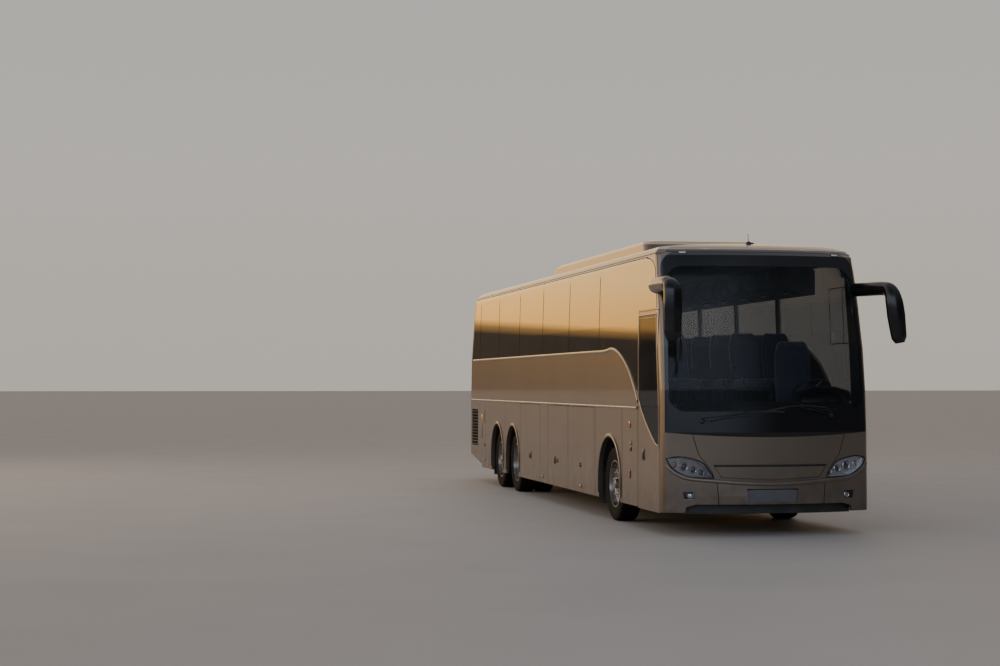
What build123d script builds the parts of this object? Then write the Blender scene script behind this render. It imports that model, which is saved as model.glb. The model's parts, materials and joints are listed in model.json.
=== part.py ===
# Three-axle touring coach, as an assembly of its real panels, glass, doors, running gear and cabin.
# Frame: millimetres, +Z up, ground at z = 0, the front faces -Y, the coach's own left side is +X.
# Origin: on the ground, on the coach's centreline, halfway along the coach with its mirrors.
# A station is a distance from the foremost point of the bumper towards the rear.
from build123d import *
from math import cos, radians, sin, sqrt
import os

os.makedirs("parts", exist_ok=True)

# Overall sizes
BODY_LENGTH = 13200.0
BODY_WIDTH = 2550.0
MIRROR_REACH = 380.0
NOSE_Y = MIRROR_REACH - (BODY_LENGTH + MIRROR_REACH) / 2
HALF = BODY_WIDTH / 2

# Heights of the body's lines
SKIRT_Z = 275.0
RAIL_Z = 1462.0
RAIL_HEIGHT = 34.0
RAIL_PROUD = 14.0
BELT_Z = 2210.0
GLASS_TOP_Z = 3300.0
GUTTER_Z = 3330.0
CROWN_Z = 3475.0
CROWN_DROP = 65.0
SCREEN_FOOT_Z = 1205.0
SCREEN_DIP = 55.0
FLOOR_Z = 1400.0
FLOOR_T = 40.0
PLATFORM_Z = 1060.0
BAY_FLOOR_Z = 420.0

# Thicknesses, and the gaps between pieces
WALL = 50.0
GLASS = 10.0
SHEET = 6.0
SEAT = 0.3
SHUT = 8.0

# Plan of the body: bow of the ends, rounded corners, lean of the sides, rake of the ends
FRONT_BOW = 190.0
FRONT_CORNER_R = 130.0
REAR_BOW = 45.0
REAR_CORNER_R = 95.0
PANEL_SETBACK = 40.0
SIDE_LEAN = 0.03
ROOF_EDGE_R = 190.0
SCREEN_RAKE = (0.03, 7.0e-5)
REAR_RAKE = (0.0, 7.2e-5)

# Edges where the sides meet the ends, as (station, height) from the skirt to the roof
FRONT_EDGE = ((326, 0), (326, 1500), (450, 2650), (628, 3330), (672, 3600))
REAR_EDGE = ((13040, 0), (13040, 1500), (12965, 2210), (12725, 3330), (12670, 3600))

# Doorway and the swoop that ends the painted side, as (station, height)
DOOR_REAR_S = 1290.0
DOOR_TOP_Z = 2650.0
DOOR_FOOT_Z = 262.0
DOOR_FRAME = 46.0
LIP_WIDTH = 42.0
LIP_PROUD = 7.0
GROOVE = 12.0
SWOOP = ((12835, 2215), (2970, 2215), (2551, 2239), (2145, 2162), (1752, 1980), (1468, 1756), (1290, 1580))
SWOOP_DOOR = ((1290, 1580), (1099, 1430), (830, 1243), (525, 1068), (365, 1000))
BAND_EDGE = 34.0
# Front upper corner of the glass band, as (run back from the leaning edge, drop from the band's top)
BAND_CORNER = ((34, 170), (58, 112), (120, 66), (250, 30), (430, 9), (640, 0))

# Stations along the body
PANEL_E_S = 2050.0
PANEL_D_S = 3420.0
BAY_SHUTS = (3530.0, 5080.0, 6410.0)
NARROW_S = 6980.0
BAY_END_S = 8500.0
REAR_SHUTS = (9800.0, 11600.0)
WINDOW_S = (1290.0, 3270.0, 5050.0, 6830.0, 8610.0, 10390.0, 12170.0)
PILLAR = 90.0
GRILLE_S = (12310.0, 12985.0)
GRILLE_Z = (617.0, 1337.0)
REAR_SLOPE = ((11950, 0), (11950, 330), (13300, 512), (13300, 0))

# Axles, wheels and their arches
FRONT_AXLE_S = 2700.0
DRIVE_AXLE_S = 9130.0
TAG_AXLE_S = 10470.0
TYRE_R = 479.0
TYRE_W = 275.0
RIM_R = 292.0
WHEEL_X = 1082.0
TWIN_GAP = 305.0
KINGPIN_X = 960.0
STEER_LIMIT = 40.0
FRONT_ARCH = (560.0, 525.0)
REAR_ARCH = (520.0, 560.0)
WELL_X = 600.0
ARCH_LIP = (46.0, 12.0)

# Swinging plug door: post, arm and where the arm takes the leaf
POST_X = -1120.0
POST_S = 530.0
POST_R = 22.0
DOOR_POST_Z = (350.3, 2335.0)
ARM_LENGTH = 420.0
ARM_START = 3.5
ARM_KNEE = (150.0, 150.0)
ARM_Z = (700.0, 1505.0)
ARM_D = 34.0

# Roof unit
POD_S = (2450.0, 8080.0)
POD_HALF = 850.0
POD_TOP_Z = 3655.0

SIDE_DIR = (0, 1, 0)
# Hinges of the luggage doors and the engine door
HINGE_R = 7.5
PIN_R = 3.5
RUN = 0.08
LID_SWING_Z = RAIL_Z - SHUT

# Frame under the floor
RAIL_X = 430.0
RAIL_W = 70.0
RAIL_BOX = (640.0, 700.0)
CROSS_TOP = 780.0
JACK_S = (1950.0, 11400.0)

BIG = 2000.0


# Places and plain shapes
def at(station):
    """Y of a station."""
    return NOSE_Y + station


def block(x0, x1, s0, s1, z0, z1):
    """A box between two places on each axis; the middle pair are stations."""
    size = (x1 - x0, s1 - s0, z1 - z0)
    return Pos((x0 + x1) / 2, at((s0 + s1) / 2), (z0 + z1) / 2) * Box(*size)


def polygon(points, radius=0):
    """A flat face through points, with rounded corners where a radius is given."""
    face = make_face(Polyline(*points, close=True))
    return fillet(face.vertices(), radius) if radius else face


def face_forward(face, s0, s1):
    """A front-view face as a solid between two stations."""
    return extrude(Plane((0, at(s1), 0), x_dir=(1, 0, 0), z_dir=(0, -1, 0)) * face, s1 - s0)


def side_prism(points, x0, x1, radius=0):
    """A side-view outline of (station, height) points, as a solid between two X."""
    face = polygon([(at(s), z) for s, z in points], radius)
    return extrude(Plane((x0, 0, 0), x_dir=SIDE_DIR, z_dir=(1, 0, 0)) * face, x1 - x0)


def front_prism(points, s0, s1, radius=0):
    """A front-view outline of (x, height) points, as a solid between two stations."""
    return face_forward(polygon(points, radius), s0, s1)


def along_x(radius, x0, x1, s, z):
    """A cylinder along X between two places."""
    return Pos((x0 + x1) / 2, at(s), z) * Rot(0, 90, 0) * Cylinder(radius, x1 - x0)


def along_y(radius, x, s0, s1, z):
    """A cylinder along Y between two stations."""
    return Pos(x, at((s0 + s1) / 2), z) * Rot(90, 0, 0) * Cylinder(radius, s1 - s0)


def upright(radius, x, s, z0, z1):
    """A cylinder along Z between two heights."""
    return Pos(x, at(s), (z0 + z1) / 2) * Cylinder(radius, z1 - z0)


def rod(start, end, radius):
    """A round bar between two points given as (x, station, z)."""
    a = Vector(start[0], at(start[1]), start[2])
    b = Vector(end[0], at(end[1]), end[2])
    return extrude(Plane(a, z_dir=b - a) * Circle(radius), (b - a).length)


def twin(shape):
    """The same shape on the other side of the coach."""
    return mirror(shape, Plane.YZ)


def write(name, *shapes):
    """One STEP file for a node made of one or more solids."""
    solids = []
    for shape in shapes:
        for item in shape if isinstance(shape, (list, tuple)) else [shape]:
            solids += list(item.solids())
    export_step(Compound(children=solids), f"parts/{name}.step")


def edge_station(edge, z):
    """Station of a leaning edge at one height."""
    for (s0, z0), (s1, z1) in zip(edge, edge[1:]):
        if z <= z1:
            return s0 + (s1 - s0) * (z - z0) / (z1 - z0)
    return edge[-1][0]


# The body's envelope: plan sections of arcs and lines, under a roof's cross-section
def end_setback(z, rake):
    rise = max(0.0, z - SCREEN_FOOT_Z)
    top = max(0.0, z - GUTTER_Z + 40)
    return rake[0] * rise + rake[1] * rise**2 + top**2 / 75


def half_width(z):
    return HALF - SIDE_LEAN * max(0.0, z - BELT_Z)


# Bumper's sections as (height, setback from the nose)
BUMPER_ROWS = ((150, 26), (330, 6), (470, 0), (620, 6), (720, 14), (960, 34))
BODY_Z = (150.0, SCREEN_FOOT_Z, 1700.0, BELT_Z, 2700.0, 3050.0, 3300.0, 3380.0, 3440.0, 3500.0)
BODY_ROWS = tuple((z, PANEL_SETBACK + end_setback(z, SCREEN_RAKE)) for z in BODY_Z)


def plan(z, setback, inset):
    """The body's outline at one height, drawn in by an inset."""
    w = half_width(z) - inset
    front = at(setback + inset)
    corner = at(PANEL_SETBACK + FRONT_BOW + end_setback(z, SCREEN_RAKE) + inset)
    rear = at(BODY_LENGTH - end_setback(z, REAR_RAKE) - inset)
    edges = [
        ThreePointArc((-w, corner), (0, front), (w, corner)),
        Line((w, corner), (w, rear - REAR_BOW)),
        ThreePointArc((w, rear - REAR_BOW), (0, rear), (-w, rear - REAR_BOW)),
        Line((-w, rear - REAR_BOW), (-w, corner)),
    ]
    face = make_face(Curve() + edges)
    face = fillet(face.vertices().sort_by(Axis.Y)[:2], FRONT_CORNER_R - inset)
    return Pos(0, 0, z) * fillet(face.vertices().sort_by(Axis.Y)[-2:], max(REAR_CORNER_R - inset, 12))


def roof_prism(inset):
    """What lies under the roof's cross-section: leaning sides, rounded edges and a crown."""
    top = CROWN_Z - inset
    w = half_width(top) - inset + 0.5
    foot = HALF - inset + 0.5
    pts = [(w, top - CROWN_DROP), (foot, BELT_Z), (foot, 100)]
    outline = [
        ThreePointArc((-w, top - CROWN_DROP), (0, top), (w, top - CROWN_DROP)),
        Polyline(*pts, *[(-x, z) for x, z in reversed(pts)]),
    ]
    face = make_face(Curve() + outline)
    face = fillet(face.vertices().sort_by(Axis.Y)[-2:], ROOF_EDGE_R - inset)
    return extrude(Plane.XZ * face, BODY_LENGTH + 400, both=True)


def envelope(inset, rows=BODY_ROWS):
    """The body as a solid block, drawn in by an inset."""
    body = loft([plan(z, setback, inset) for z, setback in rows], ruled=True)
    return body & roof_prism(inset) if rows is BODY_ROWS else body


OUTER = envelope(0)
INNER = envelope(WALL)
GLASS_IN = envelope(GLASS)
RECESS_IN = envelope(GLASS + SEAT)
GROOVE_IN = envelope(GROOVE)
PROUD = envelope(-LIP_PROUD)
WITHIN = envelope(WALL + SEAT)
SHELL = OUTER - INNER
PANE = OUTER - GLASS_IN
LIP = PROUD - RECESS_IN
BUMPER_OUTER = envelope(0, BUMPER_ROWS)
BUMPER_SHELL = BUMPER_OUTER - envelope(WALL, BUMPER_ROWS)
BUMPER_WITHIN = envelope(WALL + SEAT, BUMPER_ROWS)


def groove(edge, shift, z0, z1):
    """A shallow shut line beside a leaning edge, on the side towards the shift."""
    near, far = edge_points(edge, 0, z0, z1), edge_points(edge, shift, z0, z1)
    return side_prism(near + far[::-1], -BIG, BIG) - GROOVE_IN


# Outlines shared by the walls, the glass and the doors
def edge_points(edge, shift=0.0, z0=0.0, z1=3600.0):
    """The points of a leaning edge between two heights, moved along by a shift."""
    mid = [(s + shift, z) for s, z in edge if z0 < z < z1]
    return [(edge_station(edge, z0) + shift, z0)] + mid + [(edge_station(edge, z1) + shift, z1)]


def door_outline(gap, foot=DOOR_FOOT_Z):
    """The doorway less a gap all round, as (station, height) points."""
    front = edge_points(FRONT_EDGE, gap, foot, DOOR_TOP_Z - gap)
    return [(DOOR_REAR_S - gap, DOOR_TOP_Z - gap), (DOOR_REAR_S - gap, foot)] + front


def band_outline(gap, door=True):
    """The bonded glass band; on the driver's side it goes down in front as well."""
    lower = [(s, z + gap) for s, z in SWOOP[1:-1]]
    if door:
        front = [(DOOR_REAR_S + gap, SWOOP[-1][1] + gap), (DOOR_REAR_S + gap, DOOR_TOP_Z + 20 + gap)]
        over = DOOR_TOP_Z + 20 + gap
        front += [(edge_station(FRONT_EDGE, over) + BAND_EDGE + gap, over)]
    else:
        lower += [(s, z + gap) for s, z in SWOOP_DOOR[:-1]]
        front = edge_points(FRONT_EDGE, BAND_EDGE + gap, SWOOP_DOOR[-1][1] + gap, DOOR_TOP_Z)
    peak, shoulder, foot = GLASS_TOP_Z - gap, GLASS_TOP_Z - 90, SWOOP[0][1] + gap
    top = [(edge_station(FRONT_EDGE, GLASS_TOP_Z - drop) + run + gap, GLASS_TOP_Z - drop - gap) for run, drop in BAND_CORNER]
    rear = [(edge_station(REAR_EDGE, peak) - BAND_EDGE - 60 - gap, peak)]
    rear.append((edge_station(REAR_EDGE, shoulder) - BAND_EDGE - gap, shoulder))
    rear.append((edge_station(REAR_EDGE, foot) - BAND_EDGE - gap, foot))
    return rear + lower + front + top


def windscreen_outline(gap):
    """The pane in front view: bowed foot, leaning sides, large upper corners."""
    foot, top = SCREEN_FOOT_Z + gap, 3362 - gap
    low, high = 1240 - gap, 1196 - gap
    edges = [
        ThreePointArc((-low, foot), (0, foot - SCREEN_DIP), (low, foot)),
        Line((low, foot), (high, top - 30)),
        ThreePointArc((high, top - 30), (0, top), (-high, top - 30)),
        Line((-high, top - 30), (-low, foot)),
    ]
    face = make_face(Curve() + edges)
    return fillet(face.vertices().sort_by(Axis.Y)[-2:], 210 - gap)


# Fixed skirt panels and luggage doors, as (first station, last station)
PANELS = (
    (DOOR_REAR_S + SHUT / 2, PANEL_E_S - SHUT / 2),
    (PANEL_E_S + SHUT / 2, PANEL_D_S - SHUT / 2),
    (PANEL_D_S + SHUT / 2, BAY_SHUTS[0] - SHUT / 2),
    (BAY_SHUTS[2] + SHUT / 2, NARROW_S - SHUT / 2),
    (BAY_END_S + SHUT / 2, REAR_SHUTS[0] - SHUT / 2),
    (REAR_SHUTS[0] + SHUT / 2, REAR_SHUTS[1] - SHUT / 2),
    (REAR_SHUTS[1] + SHUT / 2, REAR_EDGE[0][0]),
)
LIDS = (
    (BAY_SHUTS[0] + SHUT / 2, BAY_SHUTS[1] - SHUT / 2),
    (BAY_SHUTS[1] + SHUT / 2, BAY_SHUTS[2] - SHUT / 2),
    (NARROW_S + SHUT / 2, BAY_END_S - SHUT / 2),
)


# Side walls above the rub rail
def wall_block(x0, x1, door):
    """The side between its leaning end edges, from the rail to the gutter; the driver's panel goes to the skirt."""
    foot = RAIL_Z if door else SKIRT_Z
    front = edge_points(FRONT_EDGE, 0, foot, GUTTER_Z)
    rear = edge_points(REAR_EDGE, 0, RAIL_Z, GUTTER_Z)
    step = [] if door else [(DOOR_REAR_S, RAIL_Z), (DOOR_REAR_S, SKIRT_Z)]
    return side_prism(front + rear[::-1] + step, x0, x1)


def windows(door):
    """The openings behind the bonded band, between the pillars, as side-view outlines."""
    low, high = BELT_Z + 55, GLASS_TOP_Z - 55
    rows = []
    for k, (s0, s1) in enumerate(zip(WINDOW_S, WINDOW_S[1:] + (GLASS_END,))):
        a, b = s0 + PILLAR / 2, s1 - PILLAR / 2
        if k == 0:
            a = DOOR_REAR_S + PILLAR if door else 620
            foot = [(2560, low + 25), (2150, 2215), (1760, 2035), (a, 1800 if door else 1190)]
            if not door:
                foot = foot[:-1] + [(1290, 1650), (a, 1240)]
            rows.append([(b, low), (b, high), (a + (0 if door else 190), high)] + foot[::-1])
        else:
            rows.append([(a, low), (b, low), (b, high), (a, high)])
    return rows


GLASS_END = 12725.0


def hinge_places():
    """Stations of the luggage doors' hinges."""
    return [s for s0, s1 in LIDS for s in (s0 + 220, s1 - 220)]


def hinge_lugs():
    """Fixed lugs under the rub rail with the pins of the luggage doors' hinges."""
    lugs = []
    for s in hinge_places():
        lugs.append(along_y(PIN_R, -HALF, s - 52, s + 52, LID_SWING_Z))
        for a, b in ((s - 60, s - 31), (s + 31, s + 60)):
            lugs.append(along_y(HINGE_R, -HALF, a, b, LID_SWING_Z))
            lugs.append(block(-HALF - HINGE_R, -HALF + 4, a, b, LID_SWING_Z, RAIL_Z + 2))
    return lugs


def side_wall(door):
    """One side's wall on the -X side, with its rub rail and its window openings."""
    wall = SHELL & wall_block(-BIG, -HALF / 2, door)
    if door:
        wall -= side_prism(door_outline(-SEAT, 200), -BIG, 0)
    recess = side_prism(band_outline(0, door), -BIG, 0) - RECESS_IN
    wall -= recess
    for outline in windows(door):
        wall -= side_prism(outline, -BIG, 0, 40)
    rail = block(-HALF - RAIL_PROUD, -HALF + 0.5, DOOR_REAR_S + SHUT, REAR_EDGE[0][0], RAIL_Z, RAIL_Z + RAIL_HEIGHT)
    curve = list(SWOOP[:-1]) + ([SWOOP[-1]] if door else [])
    low = [(s, z - LIP_WIDTH) for s, z in curve]
    lip = side_prism(curve + low[::-1], -BIG, -HALF / 2) & LIP
    return wall + rail + lip + hinge_lugs()


def side_glass(door):
    """The bonded pane of one side, on the -X side."""
    band = side_prism(band_outline(SEAT, door), -BIG, 0)
    return PANE & band


write("side_wall_right", side_wall(True))
write("side_wall_left", twin(side_wall(False)))
write("side_glass", side_glass(True), twin(side_glass(False)))


# Skirt panels under the rail, with the arches, and the luggage doors between them
def arch(s, spec):
    """A wheel arch's cut, round above and straight below."""
    radius, z = spec
    cut = along_x(radius, -BIG, -HALF / 2, s, z)
    return cut + block(-BIG, -HALF / 2, s - radius, s + radius, 0, z)


def skirt_piece(s0, s1):
    """A panel of the skirt on the -X side between two stations."""
    piece = SHELL & block(-BIG, -HALF / 2, s0, s1, SKIRT_Z, RAIL_Z - SEAT)
    return piece - side_prism(REAR_SLOPE, -BIG, 0) if s1 > REAR_SLOPE[0][0] else piece


def grille_opening(gap):
    return block(-BIG, -HALF / 2, GRILLE_S[0] + gap, GRILLE_S[1] - gap, GRILLE_Z[0] + gap, GRILLE_Z[1] - gap)


def skirt():
    """All fixed skirt panels of one side."""
    pieces = []
    for s0, s1 in PANELS:
        piece = skirt_piece(s0, s1)
        for axle, spec in ((FRONT_AXLE_S, FRONT_ARCH), (DRIVE_AXLE_S, REAR_ARCH), (TAG_AXLE_S, REAR_ARCH)):
            if s0 < axle < s1:
                lip = along_x(spec[0] + ARCH_LIP[0], -HALF - ARCH_LIP[1], -HALF + 1, axle, spec[1])
                piece += lip & block(-BIG, 0, s0, s1, SKIRT_Z + 60, 2000)
                piece -= arch(axle, spec)
        if s1 > GRILLE_S[1]:
            piece -= grille_opening(0)
        pieces += list(piece.solids())
    return pieces


write("skirt_panels_right", skirt())
write("skirt_panels_left", [twin(p) for p in skirt()])



def luggage_door(s0, s1):
    """A top-hinged lid with its hinge barrels and a pocket with a pull."""
    lid = SHELL & block(-BIG, -HALF / 2, s0, s1, SKIRT_Z, LID_SWING_Z)
    for s in (s0 + 220, s1 - 220):
        lid -= along_y(HINGE_R + 2, -HALF, s - 62, s + 62, LID_SWING_Z)
        lid += along_y(HINGE_R, -HALF, s - 29, s + 29, LID_SWING_Z)
        lid += block(-HALF, -HALF + 14, s - 29, s + 29, LID_SWING_Z - 20, LID_SWING_Z)
        lid -= along_y(PIN_R + RUN, -HALF, s - 62, s + 62, LID_SWING_Z)
    mid = (s0 + s1) / 2
    lid -= block(-HALF - 1, -HALF + 22, mid - 75, mid + 75, 622, 676)
    return lid + block(-HALF + 2, -HALF + 21.5, mid - 75, mid + 75, 648, 662)


for k, (s0, s1) in enumerate(LIDS):
    lid = luggage_door(s0, s1)
    write(f"luggage_door_right_{k + 1}", lid)
    write(f"luggage_door_left_{k + 1}", twin(lid))


# Louvred side grilles at the engine bay
def side_grille():
    frame = (SHELL & grille_opening(SEAT)) - grille_opening(32)
    slats = []
    pitch = (GRILLE_Z[1] - GRILLE_Z[0] - 64) / 12
    for k in range(12):
        z = GRILLE_Z[0] + 32 + pitch * (k + 0.5)
        slat = Rot(0, -32, 0) * Box(44, GRILLE_S[1] - GRILLE_S[0] - 62, 5)
        slats.append(Pos(-HALF + 22, at(sum(GRILLE_S) / 2), z) * slat)
    for slat in slats:
        frame += slat
    return frame


grille = side_grille()
write("side_grilles", grille, twin(grille))


# Roof panel, with its pod
def roof():
    front = edge_points(FRONT_EDGE, 0, GUTTER_Z + SEAT, 3600)
    rear = edge_points(REAR_EDGE, 0, GUTTER_Z + SEAT, 3600)
    zone = side_prism(front + rear[::-1], -BIG, BIG)
    drip = LIP & zone & block(-BIG, BIG, 0, BODY_LENGTH, GUTTER_Z + SEAT, GUTTER_Z + 16)
    return (SHELL & zone) + drip


def roof_unit():
    """The air-conditioning housing, a low lofted cover with sloped ends."""
    rows = ((0, 3400, 1.0), (95, 3585, 0.985), (240, POD_TOP_Z - 18, 0.90), (330, POD_TOP_Z, 0.80))
    s0, s1 = POD_S
    sections = []
    for run, z, share in rows:
        face = Rectangle(2 * POD_HALF * share, s1 - s0 - 2 * run)
        face = fillet(face.vertices(), 160 * share)
        sections.append(Pos(0, at((s0 + s1) / 2), z) * face)
    cover = loft([sections[0], sections[1]], ruled=True)
    cover += loft(sections[1:], ruled=True)
    return cover


pod = roof_unit() - envelope(-SEAT)
write("roof_panel", roof())
write("roof_unit", pod)

# Front frame around the windscreen, with the pane in its recess
FOOT_Z = SCREEN_FOOT_Z - SCREEN_DIP - 20
front_edge = edge_points(FRONT_EDGE, -SEAT, FOOT_Z, 3600)
front_zone = side_prism([(-200, FOOT_Z)] + front_edge + [(-200, 3600)], -BIG, BIG)
foot_cut = make_face(Curve() + [
    ThreePointArc((-1300, SCREEN_FOOT_Z + 4), (0, SCREEN_FOOT_Z - SCREEN_DIP - 6), (1300, SCREEN_FOOT_Z + 4)),
    Polyline((1300, SCREEN_FOOT_Z + 4), (1300, 0), (-1300, 0), (-1300, SCREEN_FOOT_Z + 4)),
])
below_foot = face_forward(foot_cut, -300, 1500)
front_frame = (SHELL & front_zone) - below_foot - groove(FRONT_EDGE, -SHUT, FOOT_Z, 3600)
front_frame -= face_forward(windscreen_outline(0), -300, 1200) - RECESS_IN
front_frame -= face_forward(windscreen_outline(45), -300, 1200)
pane_zone = side_prism([(-200, 900), (-200, 3600)] + edge_points(FRONT_EDGE, -SHUT - SEAT, 900, 3600)[::-1], -BIG, BIG)
bearing_z = (DOOR_POST_Z[1] - 40, DOOR_POST_Z[1])
bearing = block(-HALF + WALL - 6, POST_X, 370, 400, *bearing_z)
bearing += block(POST_X - POST_R - 14, POST_X, 370, POST_S, *bearing_z)
bearing += upright(POST_R + 14, POST_X, POST_S, *bearing_z)
front_frame += bearing & GLASS_IN
front_frame -= upright(POST_R + RUN, POST_X, POST_S, DOOR_POST_Z[1] - 60, DOOR_POST_Z[1] + 20)
write("front_frame", front_frame)
windscreen = PANE & face_forward(windscreen_outline(SEAT), -300, 1100) & pane_zone
write("windscreen", windscreen)


# Lower front: corner panels with the lamps, hinged middle flap, bumper
SMILE = ((-1400, 1010), (-1265, 880), (-1150, 762), (-985, 686), (-640, 652))
GRILLE_OUTLINE = ((-700, 832), (-600, 676), (0, 640), (600, 676), (700, 832))
SHUT_LINE = ((-935, 1215), (-926, 1155), (-861, 947), (-723, 773), (-658, 600), (-643, 402), (-640, 200))
LAMP_OUTLINE = ((-1232, 905), (-1060, 925), (-837, 868), (-735, 760), (-682, 672), (-860, 676), (-1010, 698), (-1150, 778))


def smile_face(up, gap):
    """Everything above or below the bumper's bright top line, in front view."""
    left = [(x, z + (gap if up else -gap)) for x, z in SMILE]
    right = [(-x, z) for x, z in reversed(left)]
    mid = ThreePointArc(left[-1], (0, 618 + (gap if up else -gap)), right[0])
    far = 1700 if up else 0
    return make_face(Curve() + [Polyline(*left), mid, Polyline(*right), Polyline(right[-1], (1400, far), (-1400, far), left[0])])


lower_end = FRONT_EDGE[0][0] - SEAT
lower_zone = block(-BIG, BIG, -200, lower_end, SKIRT_Z, SCREEN_FOOT_Z + 10)
under_foot = face_forward(foot_cut, -300, 1500)
upper_skin = (SHELL & lower_zone & under_foot) & face_forward(smile_face(True, 0), -300, 800)
lower_skin = (BUMPER_SHELL & lower_zone) & face_forward(smile_face(False, 0), -300, 800)
chin = front_prism([(-1070, 0), (-1010, 340), (-900, 372), (900, 372), (1010, 340), (1070, 0)], -300, 800)
lower_skin -= chin
apron = upper_skin + lower_skin - groove(FRONT_EDGE, -SHUT, SKIRT_Z, SCREEN_FOOT_Z + 10)


def between_shut_lines(gap):
    """The middle of the front, between the two curved shut lines."""
    left = [(x + gap, z) for x, z in SHUT_LINE]
    return front_prism(left + [(-x, z) for x, z in reversed(left)], -300, 800)


def corner_lamp(gap, s0, s1):
    return front_prism([(x, z) for x, z in LAMP_OUTLINE], s0, s1) if not gap else face_forward(
        offset(make_face(Polyline(*LAMP_OUTLINE, close=True)), -gap), s0, s1)


corner = (apron & block(-BIG, -300, -300, 900, 100, 1400)) - between_shut_lines(-SHUT / 2)
corner -= corner_lamp(0, -300, 800)
fog_cut = front_prism([(-1049, 520), (-917, 520), (-917, 426), (-1030, 426)], -300, 800)
corner -= fog_cut
middle = apron & between_shut_lines(SHUT / 2)
flap = middle & face_forward(smile_face(True, SHUT / 2), -300, 800)
bumper = middle & face_forward(smile_face(False, SHUT / 2), -300, 800)
grille_pocket = front_prism(GRILLE_OUTLINE, -300, 800) & (OUTER - envelope(22))
flap -= grille_pocket
plate_pocket = front_prism([(-310, 552), (310, 552), (292, 385), (-292, 385)], -300, 800) - envelope(14, BUMPER_ROWS)
bumper -= plate_pocket
write("front_corners", corner, twin(corner))
write("front_flap", flap)
write("front_bumper", bumper)

# Headlamps and fog lamps behind the corner panels
LAMP_BACK_S = 285.0
lamp_body = envelope(8) & corner_lamp(SEAT, -300, LAMP_BACK_S)
lamp_hollow = envelope(8) & corner_lamp(4, -300, LAMP_BACK_S - 4)
lamp_bowl = lamp_body - lamp_hollow
lamp_lens = (envelope(2) - envelope(7.7)) & corner_lamp(SEAT, -300, 800)
fog = front_prism([(-1048.7, 519.7), (-917.3, 519.7), (-917.3, 426.3), (-1030, 426.3)], -300, 260)
fog &= envelope(30, BUMPER_ROWS) - envelope(120, BUMPER_ROWS)
write("headlamps", lamp_bowl, twin(lamp_bowl), fog, twin(fog))
write("headlamp_lenses", lamp_lens, twin(lamp_lens))

# Rear wall with its window, engine door and lamps
rear_zone = side_prism(edge_points(REAR_EDGE, SEAT, SKIRT_Z, 3600) + [(13600, 3600), (13600, SKIRT_Z)], -BIG, BIG)
rear_low = side_prism(REAR_SLOPE, -BIG, BIG)
REAR_WINDOW = ((-1000, 2300), (1000, 2300), (930, 3120), (-930, 3120))
ENGINE_DOOR_TOP = 1430.0
ENGINE_HINGES = (-430.0, 430.0)
ENGINE_DOOR = ((-640, 650), (640, 650), (640, ENGINE_DOOR_TOP), (-640, ENGINE_DOOR_TOP))
TAIL_LAMP = ((-1130, 760), (-800, 760), (-800, 1300), (-1130, 1300))
BUMPER_REAR_Z = 640.0
rear_skin = (SHELL & rear_zone) - rear_low - groove(REAR_EDGE, SHUT, SKIRT_Z, 3600)
rear_wall = rear_skin & block(-BIG, BIG, 12000, 13600, BUMPER_REAR_Z + SEAT, 3700)
rear_wall -= front_prism(REAR_WINDOW, 12000, 13600, 80) - RECESS_IN
rear_wall -= front_prism([(x * 0.955, z + (40 if z < 2500 else -40)) for x, z in REAR_WINDOW], 12000, 13600, 60)
rear_wall -= front_prism([(x + (-SHUT if x < 0 else SHUT), z + (-30 if z < 1000 else SHUT)) for x, z in ENGINE_DOOR], 12000, 13600)
lamp_cut = front_prism(TAIL_LAMP, 12000, 13600, 40)
rear_wall -= (lamp_cut + twin(lamp_cut)) - envelope(30)
for x in ENGINE_HINGES:
    for a, b in ((x - 70, x - 36), (x + 36, x + 70)):
        rear_wall += along_x(HINGE_R, a, b, BODY_LENGTH, ENGINE_DOOR_TOP)
        rear_wall += block(a, b, BODY_LENGTH - 20, BODY_LENGTH + HINGE_R, ENGINE_DOOR_TOP, ENGINE_DOOR_TOP + SHUT + 8)
    rear_wall += along_x(PIN_R, x - 40, x + 40, BODY_LENGTH, ENGINE_DOOR_TOP)
write("rear_wall", rear_wall)
inset_window = [(x - (SEAT if x > 0 else -SEAT), z + (SEAT if z < 2500 else -SEAT)) for x, z in REAR_WINDOW]
write("rear_glass", PANE & front_prism(inset_window, 12000, 13600, 80))
rear_bumper = rear_skin & block(-BIG, BIG, 12000, 13600, SKIRT_Z, BUMPER_REAR_Z)
write("rear_bumper", rear_bumper)
engine_door = SHELL & front_prism(ENGINE_DOOR, 12700, 13600)
for k in range(9):
    z = 780 + 62 * k
    engine_door -= front_prism([(-520, z), (520, z), (520, z + 26), (-520, z + 26)], 12700, 13600, 8)
for x in ENGINE_HINGES:
    engine_door -= along_x(HINGE_R + 2, x - 72, x + 72, BODY_LENGTH, ENGINE_DOOR_TOP)
    engine_door += along_x(HINGE_R, x - 34, x + 34, BODY_LENGTH, ENGINE_DOOR_TOP)
    engine_door += block(x - 34, x + 34, BODY_LENGTH - 24, BODY_LENGTH + HINGE_R, ENGINE_DOOR_TOP - 34, ENGINE_DOOR_TOP)
    engine_door -= along_x(PIN_R + RUN, x - 72, x + 72, BODY_LENGTH, ENGINE_DOOR_TOP)
write("engine_door", engine_door)
tail = (OUTER - envelope(30 - SEAT)) & front_prism([(x, z) for x, z in TAIL_LAMP], 12700, 13600, 40)
write("tail_lamps", tail, twin(tail))


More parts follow.
